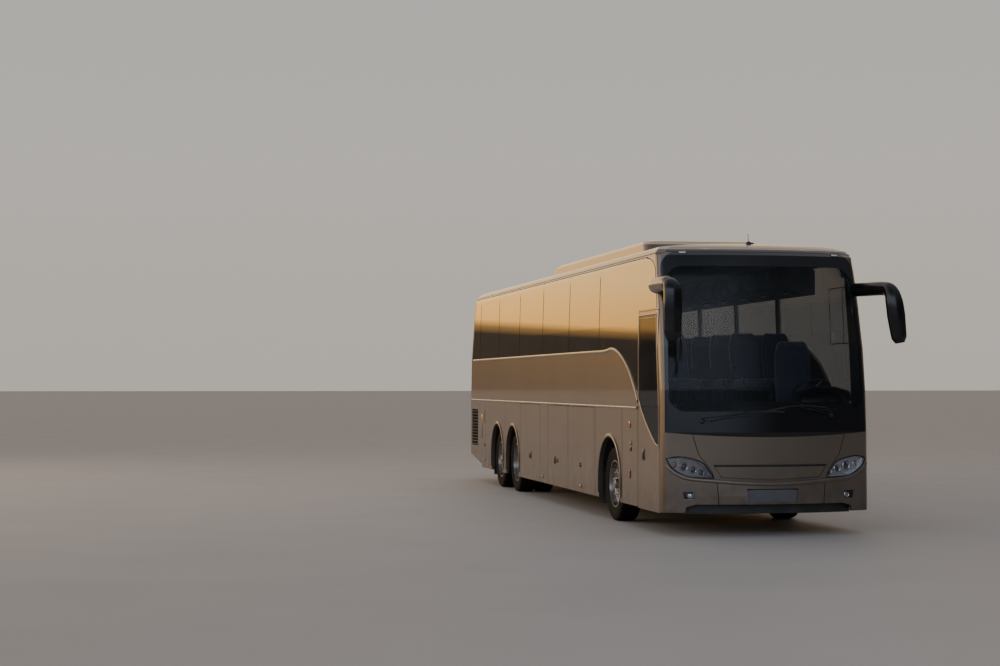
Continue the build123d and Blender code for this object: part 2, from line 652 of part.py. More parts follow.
# Front door: leaf with its glass, and the swing post that carries it
def door_parts():
    leaf_cut = side_prism(door_outline(SHUT / 2 + 2), -BIG, 0)
    leaf = SHELL & leaf_cut & block(-BIG, -HALF / 2, 200, 1500, 200, 2700)
    rear_line = DOOR_REAR_S - SHUT / 2 - 2 - DOOR_FRAME
    upper = [(rear_line, 1585), (rear_line, DOOR_TOP_Z - 60), (edge_station(FRONT_EDGE, 2590) + 58, DOOR_TOP_Z - 60)]
    upper += [(edge_station(FRONT_EDGE, 1500) + 50, 1500), (edge_station(FRONT_EDGE, 1100) + 50, 1022)]
    pane_edge = upper + [(525, 1088), (830, 1262), (1099, 1450)]
    recess = side_prism(pane_edge, -BIG, 0) - RECESS_IN
    leaf -= recess
    hole = offset(make_face(Polyline(*[(at(s), z) for s, z in pane_edge], close=True)), -24)
    side = Plane((-BIG, 0, 0), x_dir=SIDE_DIR, z_dir=(1, 0, 0))
    leaf -= extrude(side * hole, BIG)
    bar_z = ARM_Z[1] + ARM_D / 2 + 16
    bar = block(-BIG, 0, edge_station(FRONT_EDGE, bar_z) + 50, DOOR_REAR_S - 40, bar_z - 40, bar_z + 40)
    leaf += bar & (RECESS_IN - INNER)
    pane_face = offset(make_face(Polyline(*[(at(s), z) for s, z in pane_edge], close=True)), -SEAT)
    pane = PANE & extrude(side * pane_face, BIG - HALF / 2)
    return leaf, pane


attach = (POST_X + ARM_LENGTH * sin(radians(ARM_START)), POST_S + ARM_LENGTH * cos(radians(ARM_START)))
leaf, door_pane = door_parts()
for z in ARM_Z:
    eye = upright(26, attach[0], attach[1], z + ARM_D / 2 + 1, z + ARM_D / 2 + 31)
    reach = block(-HALF + WALL - 2, attach[0] - 18, attach[1] - 22, attach[1] + 22, z + ARM_D / 2 + 1, z + ARM_D / 2 + 31)
    foot = block(-HALF + WALL - 2, -HALF + WALL + 10, attach[1] - 60, attach[1] + 60, z - 50, z + 90)
    leaf += foot + reach + eye
    leaf -= upright(12.3, attach[0], attach[1], z, z + 80)
write("front_door", leaf)
write("front_door_glass", door_pane)

post = upright(POST_R, POST_X, POST_S, DOOR_POST_Z[0], DOOR_POST_Z[1])
for z in ARM_Z:
    knee = (POST_X + ARM_KNEE[0], POST_S + ARM_KNEE[1])
    path = [(POST_X, POST_S, z), (knee[0], knee[1], z), (attach[0], attach[1], z)]
    post += rod(path[0], path[1], ARM_D / 2)
    post += rod(path[1], path[2], ARM_D / 2)
    post += Pos(knee[0], at(knee[1]), z) * Sphere(ARM_D / 2)
    post += upright(24, attach[0], attach[1], z - ARM_D / 2, z + ARM_D / 2)
    post += upright(12, attach[0], attach[1], z, z + ARM_D / 2 + 40)
write("door_swing_post", post)


# Floor with its heater ducts along the walls, steps, luggage bay
DECK_S = 1560.0
DECK_HALF = HALF - WALL - 6
deck = [block(-DECK_HALF, DECK_HALF, DECK_S, REAR_EDGE[0][0] - 40, FLOOR_Z - FLOOR_T, FLOOR_Z)]
deck.append(block(-DECK_HALF, DECK_HALF, REAR_EDGE[0][0] - 40, BODY_LENGTH, FLOOR_Z - FLOOR_T, FLOOR_Z) & WITHIN)
deck.append(block(-DECK_HALF, DECK_HALF, DECK_S, DECK_S + 30, PLATFORM_Z, FLOOR_Z - FLOOR_T))
for side in (-1, 1):
    x0, x1 = side * (HALF - WALL - 62), side * (HALF - WALL - SEAT)
    post_x = side * (HALF - WALL - 35)
    deck.append(block(min(x0, x1), max(x0, x1), DECK_S, REAR_EDGE[0][0] - 40, RAIL_Z + 2, RAIL_Z + 60))
    deck.append(block(min(x0, post_x), max(x0, post_x), DECK_S, REAR_EDGE[0][0] - 40, FLOOR_Z, RAIL_Z + 2))
write("floor_deck", deck)

# Steps as (outer x, inner x, tread height)
STEP_ROWS = ((-1180, -900, 350), (-900, -640, 590), (-640, -380, 825))
STEP_S = (420.0, DOOR_REAR_S + 6)
platform = [block(-380, BIG, 470, DECK_S - SEAT, PLATFORM_Z - FLOOR_T, PLATFORM_Z) & WITHIN]
platform.append(block(-HALF + WALL + SEAT, -380, STEP_S[1], DECK_S - SEAT, PLATFORM_Z - FLOOR_T, PLATFORM_Z))
risers = [z for x0, x1, z in STEP_ROWS[1:]] + [PLATFORM_Z]
for (x0, x1, z), above in zip(STEP_ROWS, risers):
    platform.append(block(x0, x1, *STEP_S, z - 30, z))
    platform.append(block(x1, x1 + 20, *STEP_S, z - 30, above - 30 - SEAT))
platform.append(block(-1180, -RAIL_X - 45, STEP_S[1], STEP_S[1] + 30, 320, PLATFORM_Z - FLOOR_T))
write("front_platform", platform)

# Bulkheads as (station, thickness); they reach the fixed panels beside the luggage doors
BULKHEADS = ((3450, 50), (6650, 40), (8512, 30))
bay = [block(-DECK_HALF, DECK_HALF, 3500, 8512, BAY_FLOOR_Z - 40, BAY_FLOOR_Z)]
for s, thick in BULKHEADS:
    half = HALF - WALL - SEAT
    foot = BAY_FLOOR_Z - 40 if s != BULKHEADS[1][0] else BAY_FLOOR_Z
    bay.append(block(-half, half, s, s + thick, foot, FLOOR_Z - FLOOR_T - SEAT))
write("luggage_bay", bay)

# Frame: rails below, crossmembers on them, brackets at both ends
FRAME_S = (3450 - SEAT, 8542 + SEAT)
CROSS_S = (400.0, 1680.0, 3400.0, 11110.0, 12680.0)
frame = []
for x in (-RAIL_X, RAIL_X):
    for s0, s1 in ((-100, FRAME_S[0]), (FRAME_S[1], 12740)):
        frame.append(block(x - RAIL_W / 2, x + RAIL_W / 2, s0, s1, *RAIL_BOX) & WITHIN)
    frame.append(block(x - RAIL_W / 2, x + RAIL_W / 2, -100, 140, 440, RAIL_BOX[0]) & BUMPER_WITHIN & WITHIN)
    frame.append(block(x - RAIL_W / 2, x + RAIL_W / 2, 12740 + SEAT, BODY_LENGTH, 560, RAIL_BOX[1]) & WITHIN)
for s in CROSS_S:
    half = 1000 if s < 1000 else BIG
    frame.append(block(-half, half, s - 20, s + 20, RAIL_BOX[1], CROSS_TOP) & WITHIN)
for s in (8566, 9800):
    frame.append(block(-560, 560, s - 20, s + 20, RAIL_BOX[1], CROSS_TOP))
for s in JACK_S:
    for x in (-RAIL_X, RAIL_X):
        frame.append(block(x - 50, x + 50, s - 50, s + 50, RAIL_BOX[0] - 20, RAIL_BOX[0]))
frame.append(block(-BIG, BIG, 280, 330, RAIL_BOX[0] - 80, RAIL_BOX[0]) & WITHIN)
eye = block(-60, 60, 12700 + SEAT, 12850, CROSS_TOP - 60, CROSS_TOP - 20)
frame.append(eye - upright(22, 0, 12790, 600, 900))
write("underframe", frame)


# Wheel housings
def housing(s, spec, spread=0):
    radius, z = spec
    outer_r = radius + 60
    x0, x1 = -HALF + WALL + SEAT, -WELL_X
    shell = along_x(outer_r, x0, x1, s, z) - along_x(outer_r - SHEET, x0 - 1, x1 - SHEET, s, z)
    return shell & block(-BIG, 0, s - outer_r - 1, s + outer_r + 1, z, 2000)


front_well = housing(FRONT_AXLE_S, FRONT_ARCH)
drive_well = housing(DRIVE_AXLE_S, REAR_ARCH) & block(-BIG, 0, 8000, (DRIVE_AXLE_S + TAG_AXLE_S) / 2 - 0.15, 0, 2000)
tag_well = housing(TAG_AXLE_S, REAR_ARCH) & block(-BIG, 0, (DRIVE_AXLE_S + TAG_AXLE_S) / 2 + 0.15, 12000, 0, 2000)
FLAP_S = (FRONT_AXLE_S + 590, TAG_AXLE_S + 560)
flaps = [block(-HALF + WALL + 2, -WELL_X - 160, s, s + 8, 190, FRONT_ARCH[1] + 60) for s in FLAP_S]
wells = [front_well, drive_well, tag_well] + flaps
write("wheel_housings", wells, [twin(w) for w in wells])


# Wheels, as half-profiles of (offset outward from the wheel's middle plane, radius)
def spin(profile, x, s, z=TYRE_R):
    """A ring or disc turned about an axle line from its half-profile."""
    face = make_face(Polyline(*profile, close=True)) if isinstance(profile, (list, tuple)) else profile
    ring = revolve(face, Axis.X)
    return Pos(x, at(s), z) * ring


def tyre(x, s):
    half, bead = TYRE_W / 2, RIM_R + SEAT
    edges = [
        Polyline((-half + 38, TYRE_R - 9), (-half + 60, TYRE_R), (half - 60, TYRE_R), (half - 38, TYRE_R - 9)),
        ThreePointArc((half - 38, TYRE_R - 9), (half, TYRE_R - 95), (half - 32, bead)),
        Line((half - 32, bead), (-half + 32, bead)),
        ThreePointArc((-half + 32, bead), (-half, TYRE_R - 95), (-half + 38, TYRE_R - 9)),
    ]
    return spin(make_face(Curve() + edges), x, s)


def wheel_rim(x, s, disc, face=1):
    """Barrel with its drop, and a holed disc; disc is its offset outward from the middle plane."""
    half = TYRE_W / 2 - 20
    outer = [(-half, RIM_R + 14), (-half + 12, RIM_R), (-40, RIM_R - 6), (-20, RIM_R - 30), (30, RIM_R - 30), (50, RIM_R - 6), (half - 12, RIM_R), (half, RIM_R + 14)]
    inner = [(half, RIM_R - 4), (50, RIM_R - 18), (30, RIM_R - 42), (-20, RIM_R - 42), (-40, RIM_R - 18), (-half, RIM_R - 4)]
    rim = spin([(a * face, r) for a, r in outer + inner], x, s)
    back = disc - DISC_T
    web = [(disc, 70), (disc, 190), (disc - 38, RIM_R - 34), (back - 38, RIM_R - 34), (back, 188), (back, 70)]
    plate = spin([(a * face, r) for a, r in web], x, s)
    hole = Pos(x + (disc - 15) * face, at(s), TYRE_R + 218) * Rot(0, 90, 0) * Cylinder(24, 90)
    axis = Axis((x, at(s), TYRE_R), (1, 0, 0))
    for k in range(10):
        plate -= hole.rotate(axis, 36 * k)
    return rim + plate


HUB_DEPTH = 96.0
DISC_T = 12.0
SPINDLE_R = 30.0


def hub(x, s, disc, face=1, discs=1):
    """Hub with its flange behind one or two wheel discs, and a cap outside."""
    seat = disc - discs * (DISC_T + SEAT)
    flange = [(seat, SPINDLE_R), (seat, 140), (seat - 30, 140), (seat - 48, 95), (seat - HUB_DEPTH, 95), (seat - HUB_DEPTH, SPINDLE_R)]
    cap = [(seat, SPINDLE_R), (seat, 69), (disc + 58, 62), (disc + 70, 48), (disc + 70, 0), (disc + 50, 0), (disc + 50, SPINDLE_R)]
    return spin([(a * face, r) for a, r in flange], x, s) + spin([(a * face, r) for a, r in cap], x, s)


FRONT_DISC = 62.0
for side, name in ((-1, "right"), (1, "left")):
    x = side * WHEEL_X
    write(f"front_rim_{name}", wheel_rim(x, FRONT_AXLE_S, FRONT_DISC, side), hub(x, FRONT_AXLE_S, FRONT_DISC, side))
    write(f"front_tyre_{name}", tyre(x, FRONT_AXLE_S))
    write(f"tag_rim_{name}", wheel_rim(x, TAG_AXLE_S, FRONT_DISC, side), hub(x, TAG_AXLE_S, FRONT_DISC, side))
    write(f"tag_tyre_{name}", tyre(x, TAG_AXLE_S))
    inner_x = side * (WHEEL_X - TWIN_GAP)
    seam = -TWIN_GAP / 2 + DISC_T + SEAT
    outer_rim = wheel_rim(x, DRIVE_AXLE_S, seam, side)
    inner_rim = wheel_rim(inner_x, DRIVE_AXLE_S, seam, -side)
    write(f"drive_rims_{name}", outer_rim, inner_rim, hub(x, DRIVE_AXLE_S, seam, side, 2))
    write(f"drive_tyres_{name}", tyre(x, DRIVE_AXLE_S), tyre(inner_x, DRIVE_AXLE_S))


# Axles and knuckles
BEAM_Z = 400.0
beam = block(-700, 700, FRONT_AXLE_S - 50, FRONT_AXLE_S + 50, BEAM_Z - 60, BEAM_Z + 40)
for side in (-1, 1):
    arm = rod((side * 690, FRONT_AXLE_S, BEAM_Z - 10), (side * (KINGPIN_X - 30), FRONT_AXLE_S, TYRE_R), 42)
    eye = upright(44, side * KINGPIN_X, FRONT_AXLE_S, TYRE_R - 60, TYRE_R + 60)
    beam += arm + eye
for side in (-1, 1):
    beam -= upright(22.3, side * KINGPIN_X, FRONT_AXLE_S, TYRE_R - 100, TYRE_R + 100)
write("front_axle_beam", beam)
for side, name in ((-1, "right"), (1, "left")):
    x = side * KINGPIN_X
    knuckle = upright(22, x, FRONT_AXLE_S, TYRE_R - 95, TYRE_R + 95)
    for z0, z1 in ((TYRE_R - 95, TYRE_R - 62), (TYRE_R + 62, TYRE_R + 95)):
        knuckle += upright(46, x, FRONT_AXLE_S, z0, z1)
        knuckle += block(min(x, x + side * 60), max(x, x + side * 60), FRONT_AXLE_S - 40, FRONT_AXLE_S + 40, z0, z1)
    flange_x = sorted((x + side * 46, x + side * 64))
    knuckle += block(*flange_x, FRONT_AXLE_S - 60, FRONT_AXLE_S + 60, TYRE_R - 95, TYRE_R + 95)
    knuckle += along_x(29.7, min(x + side * 60, x + side * 185), max(x + side * 60, x + side * 185), FRONT_AXLE_S, TYRE_R)
    write(f"knuckle_{name}", knuckle)


def live_axle(s, half_track, spindle, bowl):
    """An axle tube that reaches to the hubs, with a spindle end in each."""
    tube = along_x(75, -half_track, half_track, s, TYRE_R)
    tube += along_x(29.7, -spindle, spindle, s, TYRE_R)
    if bowl:
        tube += Pos(0, at(s), TYRE_R) * Sphere(200)
        tube += along_y(80, 0, s, s + 330, TYRE_R)
    return tube


drive_disc = WHEEL_X - TWIN_GAP / 2 + DISC_T + SEAT
tag_disc = WHEEL_X + FRONT_DISC
tube_end = HUB_DEPTH + DISC_T + 8
write("drive_axle", live_axle(DRIVE_AXLE_S, drive_disc - tube_end - DISC_T, drive_disc + 45, True))
write("tag_axle", live_axle(TAG_AXLE_S, tag_disc - tube_end, tag_disc + 45, False))

springs = []
# Air springs as (axle's station, offsets of the springs from it); rear ones stand on arms under the axle
SPRING_ROWS = ((FRONT_AXLE_S, (0,)), (DRIVE_AXLE_S, (-300, 300)), (TAG_AXLE_S, (300,)))
ARM_TOP = TYRE_R - 75 - SEAT
for axle, offsets in SPRING_ROWS:
    for x in (-RAIL_X, RAIL_X):
        front = axle == FRONT_AXLE_S
        seat = BEAM_Z + 40 + SEAT if front else ARM_TOP
        if not front:
            arm = block(x - 50, x + 50, axle + min(offsets + (-90,)) - 60, axle + 360, ARM_TOP - 30, ARM_TOP)
            springs.append(arm)
        for run in offsets:
            springs.append(upright(105, x, axle + run, seat, RAIL_BOX[0] - SEAT))
write("air_springs", springs)

# Engine
engine = block(-380, 380, 11250, 12600, CROSS_TOP + SEAT, 1300)
write("engine_block", engine)

# Mirrors: a curved arm from the corner post, and a head that hangs from it
# Arm points are (x, station, z); rows of a head are (height, middle x, width, depth)
RIGHT_ARM = ((-1130, 600, 2905), (-1338, 400, 2915), (-1305, -215, 2885), (-1298, -290, 2690))
RIGHT_HEAD = ((2262, -1297, 170, 90), (2300, -1297, 208, 140), (2780, -1297, 215, 150), (2880, -1297, 180, 120))
LEFT_ARM = ((1120, 600, 2900), (1372, -215, 2885), (1385, -290, 2690))
LEFT_HEAD = ((2246, 1447, 130, 90), (2290, 1440, 182, 140), (2740, 1378, 225, 150), (2850, 1368, 180, 120))
ARM_SECTION = (165.0, 150.0, 45.0)
ARM_BEND = 100.0
HEAD_ROUND = 40.0


def mirror_unit(arm, head):
    """One mirror: a rounded box section swept along the bent arm, and a lofted head."""
    path = FilletPolyline(*[(x, at(s), z) for x, s, z in arm], radius=ARM_BEND)
    start = Plane(path @ 0, x_dir=(0, 0, 1), z_dir=path % 0)
    tube = sweep(start * RectangleRounded(*ARM_SECTION), path)
    rows = [Pos(x, at(depth / 2 - MIRROR_REACH), z) * RectangleRounded(width, depth, HEAD_ROUND) for z, x, width, depth in head]
    return (tube + loft(rows, ruled=True)) - OUTER


kerb_tail = block(-1250, -1192, -350, -290, 2032, 2300)
kerb_tail = fillet(kerb_tail.edges().filter_by(Axis.Z), 24)
write("mirrors", mirror_unit(RIGHT_ARM, RIGHT_HEAD) + kerb_tail, mirror_unit(LEFT_ARM, LEFT_HEAD))


# Wipers parked over the foot of the windscreen, as (pivot x, elbow x, elbow z, blade's far x, blade's far z)
def on_screen(x, z, stand):
    """A point that stands off the windscreen by a distance."""
    w = half_width(z)
    radius = (w**2 + FRONT_BOW**2) / (2 * FRONT_BOW)
    bow = radius - sqrt(radius**2 - x**2)
    return x, PANEL_SETBACK + end_setback(z, SCREEN_RAKE) + bow - stand, z


WIPER_ROWS = ((-120, -560, 1335, -1060, 1420), (760, 330, 1345, -180, 1400))
wipers = []
for pivot, elbow, elbow_z, far, far_z in WIPER_ROWS:
    shaft = rod(on_screen(pivot, 1195, -20), on_screen(pivot, 1195, 40), 16)
    arm = rod(on_screen(pivot, 1195, 34), on_screen(elbow, elbow_z, 34), 9)
    near = (2 * elbow - far, 2 * elbow_z - far_z)
    blade = rod(on_screen(near[0], near[1], 14), on_screen(elbow, elbow_z, 20), 7)
    blade += rod(on_screen(elbow, elbow_z, 20), on_screen(far, far_z, 14), 7)
    joint = rod(on_screen(elbow, elbow_z, 12), on_screen(elbow, elbow_z, 38), 10)
    wipers.append((shaft + arm + blade + joint) - OUTER)
write("wipers", wipers)


# Seats and cockpit
def double_seat(x0, x1, s):
    """Two places on one base: a leg, a cushion, and a back that leans behind it."""
    cushion = side_prism([(s + a, FLOOR_Z + z) for a, z in ((0, 445), (450, 410), (480, 300), (0, 315))], x0, x1, 30)
    back = side_prism([(s + a, FLOOR_Z + z) for a, z in ((460, 395), (650, 1075), (745, 1060), (600, 330), (490, 300))], x0, x1, 25)
    leg = block((x0 + x1) / 2 - 40, (x0 + x1) / 2 + 40, s + 120, s + 360, FLOOR_Z + SEAT, FLOOR_Z + 308)
    return [cushion, back, leg]


SEAT_X = (260.0, 1150.0)
seats = []
for k in range(12):
    s = 1900 + 850 * k
    seats += double_seat(-SEAT_X[1], -SEAT_X[0], s) + double_seat(SEAT_X[0], SEAT_X[1], s)
driver = side_prism([(880, 1540), (1320, 1500), (1440, 2360), (1540, 2360), (1470, 1400), (880, 1420)], 520, 1040)
driver += block(700, 860, 1020, 1280, PLATFORM_Z + SEAT, 1420)
write("seats", seats, driver)
dash = side_prism([(150, 1180), (330, 1480), (560, 1560), (700, 1420), (560, 1200), (480, PLATFORM_Z), (150, PLATFORM_Z)], -300, 1150)
write("dashboard", dash & envelope(WALL + 10))
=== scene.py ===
# %% [markdown]
# A three-axle touring coach, dressed over its packed construction model.
# The panels, glass, doors, axles and seats' places come from the model, and this lesson gives them their
# finishes and adds what a maker fits last: tyres with tread, lamps, mirrors, wipers, handles, seals and seats.
# Everything is in metres. The front faces -Y, the coach's own left side is +X, and the ground is z = 0.

# %% Load the construction model
import json
from math import atan2, cos, pi, radians, sin

import bmesh
import bpy
from mathutils import Matrix, Vector
from mathutils.bvhtree import BVHTree

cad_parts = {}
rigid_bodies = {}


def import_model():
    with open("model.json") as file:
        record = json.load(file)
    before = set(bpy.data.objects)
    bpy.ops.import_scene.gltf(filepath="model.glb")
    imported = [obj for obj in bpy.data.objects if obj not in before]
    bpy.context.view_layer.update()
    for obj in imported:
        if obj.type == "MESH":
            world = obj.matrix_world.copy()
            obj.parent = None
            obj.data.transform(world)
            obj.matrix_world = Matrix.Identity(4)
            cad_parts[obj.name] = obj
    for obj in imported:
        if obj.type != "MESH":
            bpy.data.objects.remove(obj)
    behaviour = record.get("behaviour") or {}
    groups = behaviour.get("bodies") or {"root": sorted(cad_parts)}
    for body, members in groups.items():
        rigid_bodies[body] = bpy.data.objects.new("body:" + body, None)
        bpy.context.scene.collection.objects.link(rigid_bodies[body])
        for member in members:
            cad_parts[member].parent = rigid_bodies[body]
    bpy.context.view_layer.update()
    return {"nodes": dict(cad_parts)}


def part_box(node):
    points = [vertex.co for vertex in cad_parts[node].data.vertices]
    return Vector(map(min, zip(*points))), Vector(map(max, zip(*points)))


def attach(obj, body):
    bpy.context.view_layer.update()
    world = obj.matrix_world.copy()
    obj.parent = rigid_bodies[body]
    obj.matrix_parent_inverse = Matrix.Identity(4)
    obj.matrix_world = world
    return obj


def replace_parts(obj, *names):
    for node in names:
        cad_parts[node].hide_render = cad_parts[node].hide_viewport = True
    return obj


for old in list(bpy.data.objects):
    bpy.data.objects.remove(old)
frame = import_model()
BODY = "coach_body"
SIDES = ((-1, "right"), (1, "left"))
BUMPER_CUT = 0.003
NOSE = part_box("front_bumper")[0].y - BUMPER_CUT
print("construction model:", len(frame["nodes"]), "nodes, nose at y =", round(NOSE, 3))


def station(s):
    """Y of a place given as its distance behind the nose."""
    return NOSE + s


# %% [markdown]
# Every finish is a small tree of nodes on one Principled shader. A few helpers add a node, set it and link it,
# so that each recipe below reads from top to bottom. Patterns use Object coordinates, which are the real
# metres of the coach, so that grain and dirt keep their size on every piece. The studio's walls use them too.

# %% Helpers for finishes
finish = {}


def fill(tree, node, sockets):
    """Sets or links a node's sockets."""
    for key, value in sockets.items():
        if isinstance(value, bpy.types.NodeSocket):
            tree.links.new(value, node.inputs[key])
        else:
            node.inputs[key].default_value = value


def add_node(tree, kind, sockets, **options):
    """Adds a node, sets its options and fills its sockets."""
    made = tree.nodes.new("ShaderNode" + kind)
    for option, value in options.items():
        setattr(made, option, value)
    fill(tree, made, sockets)
    return made


def new_finish(name):
    """Starts a finish, and gives its tree, its shader and the place socket that its patterns read."""
    finish[name] = bpy.data.materials.new(name)
    finish[name].use_nodes = True
    tree = finish[name].node_tree
    return tree, tree.nodes["Principled BSDF"], add_node(tree, "TexCoord", {}).outputs["Object"]


def calc(tree, operation, first, second=0.0):
    """One step of arithmetic."""
    return add_node(tree, "Math", {0: first, 1: second}, operation=operation).outputs[0]


def grain(tree, where, scale, detail):
    """Soft noise between 0 and 1, with spots about 1/scale metres across."""
    return add_node(tree, "TexNoise", {"Vector": where, "Scale": scale, "Detail": detail}).outputs["Fac"]


def ribs(tree, where, scale, wobble=0.0):
    """Fine upright ribs, between 0 and 1."""
    wave = add_node(tree, "TexWave", {"Vector": where, "Scale": scale, "Distortion": wobble}, bands_direction="X")
    return wave.outputs["Fac"]


def spread(tree, value, low, high, start=0.0, end=1.0):
    """Stretches what lies between low and high over start to end."""
    sockets = {"Value": value, "From Min": low, "From Max": high, "To Min": start, "To Max": end}
    return add_node(tree, "MapRange", sockets).outputs["Result"]


def between(tree, share, low, high):
    """A colour or number that goes from low to high as share goes from 0 to 1."""
    if isinstance(low, float):
        return spread(tree, share, 0.0, 1.0, low, high)
    low, high = (c if isinstance(c, bpy.types.NodeSocket) else (*c, 1) for c in (low, high))
    return add_node(tree, "Mix", {"Factor": share, 6: low, 7: high}, data_type="RGBA").outputs[2]


def bumps(tree, shader, height, depth, strength):
    """Feeds a height pattern to the shader as small bumps of this depth in metres."""
    bump = add_node(tree, "Bump", {"Height": height, "Distance": depth, "Strength": strength})
    fill(tree, shader, {"Normal": bump.outputs["Normal"]})


# %% [markdown]
# Camera and light come first, so that each later piece can be looked at as soon as it exists. The view is that
# of a person standing some twenty metres ahead of the coach and seven to its right. A warm panel lights the side
# that the camera sees, a cool one hangs overhead, and the front gets only a weak fill.

# %% Camera and lights
EYE = Vector((-7.085, station(-20.079), 1.776))
EYE_TURN = 0.1894
EYE_LIFT = 0.0279
FOCAL_MM = 65.05
COOL_WHITE = (0.84, 0.90, 1.0)
WARM_WHITE = (1.0, 0.80, 0.58)


def linked(name, data):
    """A new object in the scene."""
    made = bpy.data.objects.new(name, data)
    bpy.context.scene.collection.objects.link(made)
    return made


def panel_light(name, place, aim, size, watts, colour, in_mirrors):
    """A soft rectangular lamp that shines from one place towards another."""
    data = bpy.data.lights.new(name, "AREA")
    data.shape = "RECTANGLE"
    data.size, data.size_y = size
    data.energy = watts
    data.color = colour
    lamp = linked(name, data)
    lamp.location = place
    lamp.rotation_euler = (Vector(aim) - Vector(place)).to_track_quat("-Z", "Y").to_euler()
    lamp.visible_glossy = in_mirrors


camera = linked("camera", bpy.data.cameras.new("camera"))
camera.data.lens = FOCAL_MM
camera.data.sensor_width = 36
camera.data.clip_end = 900
camera.location = EYE
camera.rotation_euler = (pi / 2 + EYE_LIFT, 0, -EYE_TURN)
bpy.context.scene.camera = camera
panel_light("warm_key", (-17, 7, 6.5), (0, 0, 1.6), (18, 7), 620, WARM_WHITE, True)
panel_light("cool_top", (0, 0, 13), (0, 0, 0), (12, 16), 350, COOL_WHITE, False)
panel_light("front_fill", (-3, -19, 5), (0, -5, 1.5), (9, 5), 100, COOL_WHITE, False)
print("camera", round(EYE.length, 1), "m from the middle, and 3 lamps")

# %% [markdown]
# Paint and glass show what stands round them, so the sky is painted as a ring of walls: a bright warm band low
# down on the lit side, a cool bright one ahead of the coach, and a dim one to its left. They fade into each
# other by the direction that is looked in. The camera itself sees a plain pale backdrop in their place.

# %% Walls of the studio
OVERHEAD = (0.55, 0.62, 0.76)
# colours by height, where 0 is level and 1 is overhead
WARM_WALL = ((0.0, (0.10, 0.075, 0.055)), (0.042, (0.12, 0.09, 0.06)), (0.046, (3.00, 1.50, 0.36)),
             (0.075, (3.30, 1.95, 0.72)), (0.16, (3.05, 2.05, 1.05)), (0.40, (1.25, 1.03, 0.84)), (1.0, OVERHEAD))
COOL_WALL = ((0.0, (0.50, 0.55, 0.66)), (0.09, (0.56, 0.62, 0.76)), (0.20, (1.38, 1.58, 1.92)),
             (0.48, (2.00, 2.28, 2.74)), (0.62, (0.30, 0.34, 0.41)), (0.88, (0.26, 0.29, 0.35)), (1.0, OVERHEAD))
DARK_WALL = ((0.0, (0.110, 0.105, 0.110)), (0.25, (0.100, 0.105, 0.120)), (0.55, (0.30, 0.32, 0.36)),
             (1.0, OVERHEAD))
BACKDROP = ((0.0, (0.86, 0.80, 0.72)), (0.12, (0.90, 0.85, 0.78)), (0.40, (0.78, 0.78, 0.78)),
            (1.0, (0.70, 0.72, 0.75)))
SKY_STRENGTH = 0.62

world = bpy.data.worlds.new("studio")
world.use_nodes = True
bpy.context.scene.world = world
sky = world.node_tree
looking = add_node(sky, "TexCoord", {}).outputs["Generated"]
upward = add_node(sky, "SeparateXYZ", {"Vector": looking}).outputs["Z"]


def wall(bands):
    """A ramp of colours over the height of the direction that is looked in."""
    ramp = add_node(sky, "ValToRGB", {0: upward})
    elements = ramp.color_ramp.elements
    elements[0].color, elements[-1].color = (*bands[0][1], 1), (*bands[-1][1], 1)
    for height, colour in bands[1:-1]:
        elements.new(height).color = (*colour, 1)
    return ramp.outputs[0]


def towards(way, start, end):
    """How far the direction looked in has turned towards a way, from 0 at start to 1 at end."""
    turn = add_node(sky, "VectorMath", {0: looking, 1: way}, operation="DOT_PRODUCT").outputs["Value"]
    return add_node(sky, "MapRange", {"Value": turn, "From Min": start, "From Max": end},
                    interpolation_type="SMOOTHSTEP").outputs["Result"]


front_walls = between(sky, towards((1, 0, 0), -0.02, 0.42), wall(COOL_WALL), wall(DARK_WALL))
all_walls = between(sky, towards((-0.45, 0.89, 0), 0.0, 0.6), front_walls, wall(WARM_WALL))
seen_straight = add_node(sky, "LightPath", {}).outputs["Is Camera Ray"]
fill(sky, sky.nodes["Background"], {"Color": between(sky, seen_straight, all_walls, wall(BACKDROP)),
                                    "Strength": SKY_STRENGTH})
print("studio of three walls and a backdrop:", len(sky.nodes), "nodes")

# %% [markdown]
# The paint is a champagne metallic: fine flake under a clear coat, very slightly wavy over each sheet.
# Road film gathers on the lowest half metre and thins out above. The foot of each flank is darkened further as
# painted shade, and painted shade with some dirt lies beside the upright shut lines. Height, distance and a
# coarse noise give all three.

# %% Body paint
PAINT = (0.202, 0.154, 0.109)
PAINT_DEEP = (0.171, 0.130, 0.092)
# colour of the road film, which is dirt, and of the painted shade at the foot of each flank
ROAD_FILM_AND_SHADE = (0.064, 0.050, 0.037)
# painted shade in the upright shut lines, with some dirt
GAP_SHADE_AND_DIRT = (0.045, 0.035, 0.027)
GAP_STATIONS = (1.290, 2.050, 3.480, 5.080, 6.410, 6.980, 8.500)
GAP_REACH = (0.016, 0.008)
LOW_SIDE_X = 1.15
RAIL_FOOT_Z = 1.450
FAR_OFF = 9.0
FLAKE_SHARE = 0.05
FILM_Z = (0.95, 0.25)
# heights over which the painted shade at the foot of each flank fades in, and its strongest share
LOW_SHADE_Z = (1.05, 0.35)
LOW_SHADE_MOST = 0.55
FLANK_X = (1.21, 1.25)


def beside_gaps(tree, off_middle, y, z):
    """1 within a few millimetres of an upright shut line on the lower flank, 0 elsewhere: where painted shade
    goes.
    """
    nearest = FAR_OFF
    for s in GAP_STATIONS:
        gap = calc(tree, "ABSOLUTE", calc(tree, "SUBTRACT", y, station(s)))
        nearest = calc(tree, "MINIMUM", nearest, gap)
    close = spread(tree, nearest, *GAP_REACH)
    outer = calc(tree, "GREATER_THAN", off_middle, LOW_SIDE_X)
    low_side = calc(tree, "MULTIPLY", calc(tree, "LESS_THAN", z, RAIL_FOOT_Z), outer)
    return calc(tree, "MULTIPLY", close, low_side)


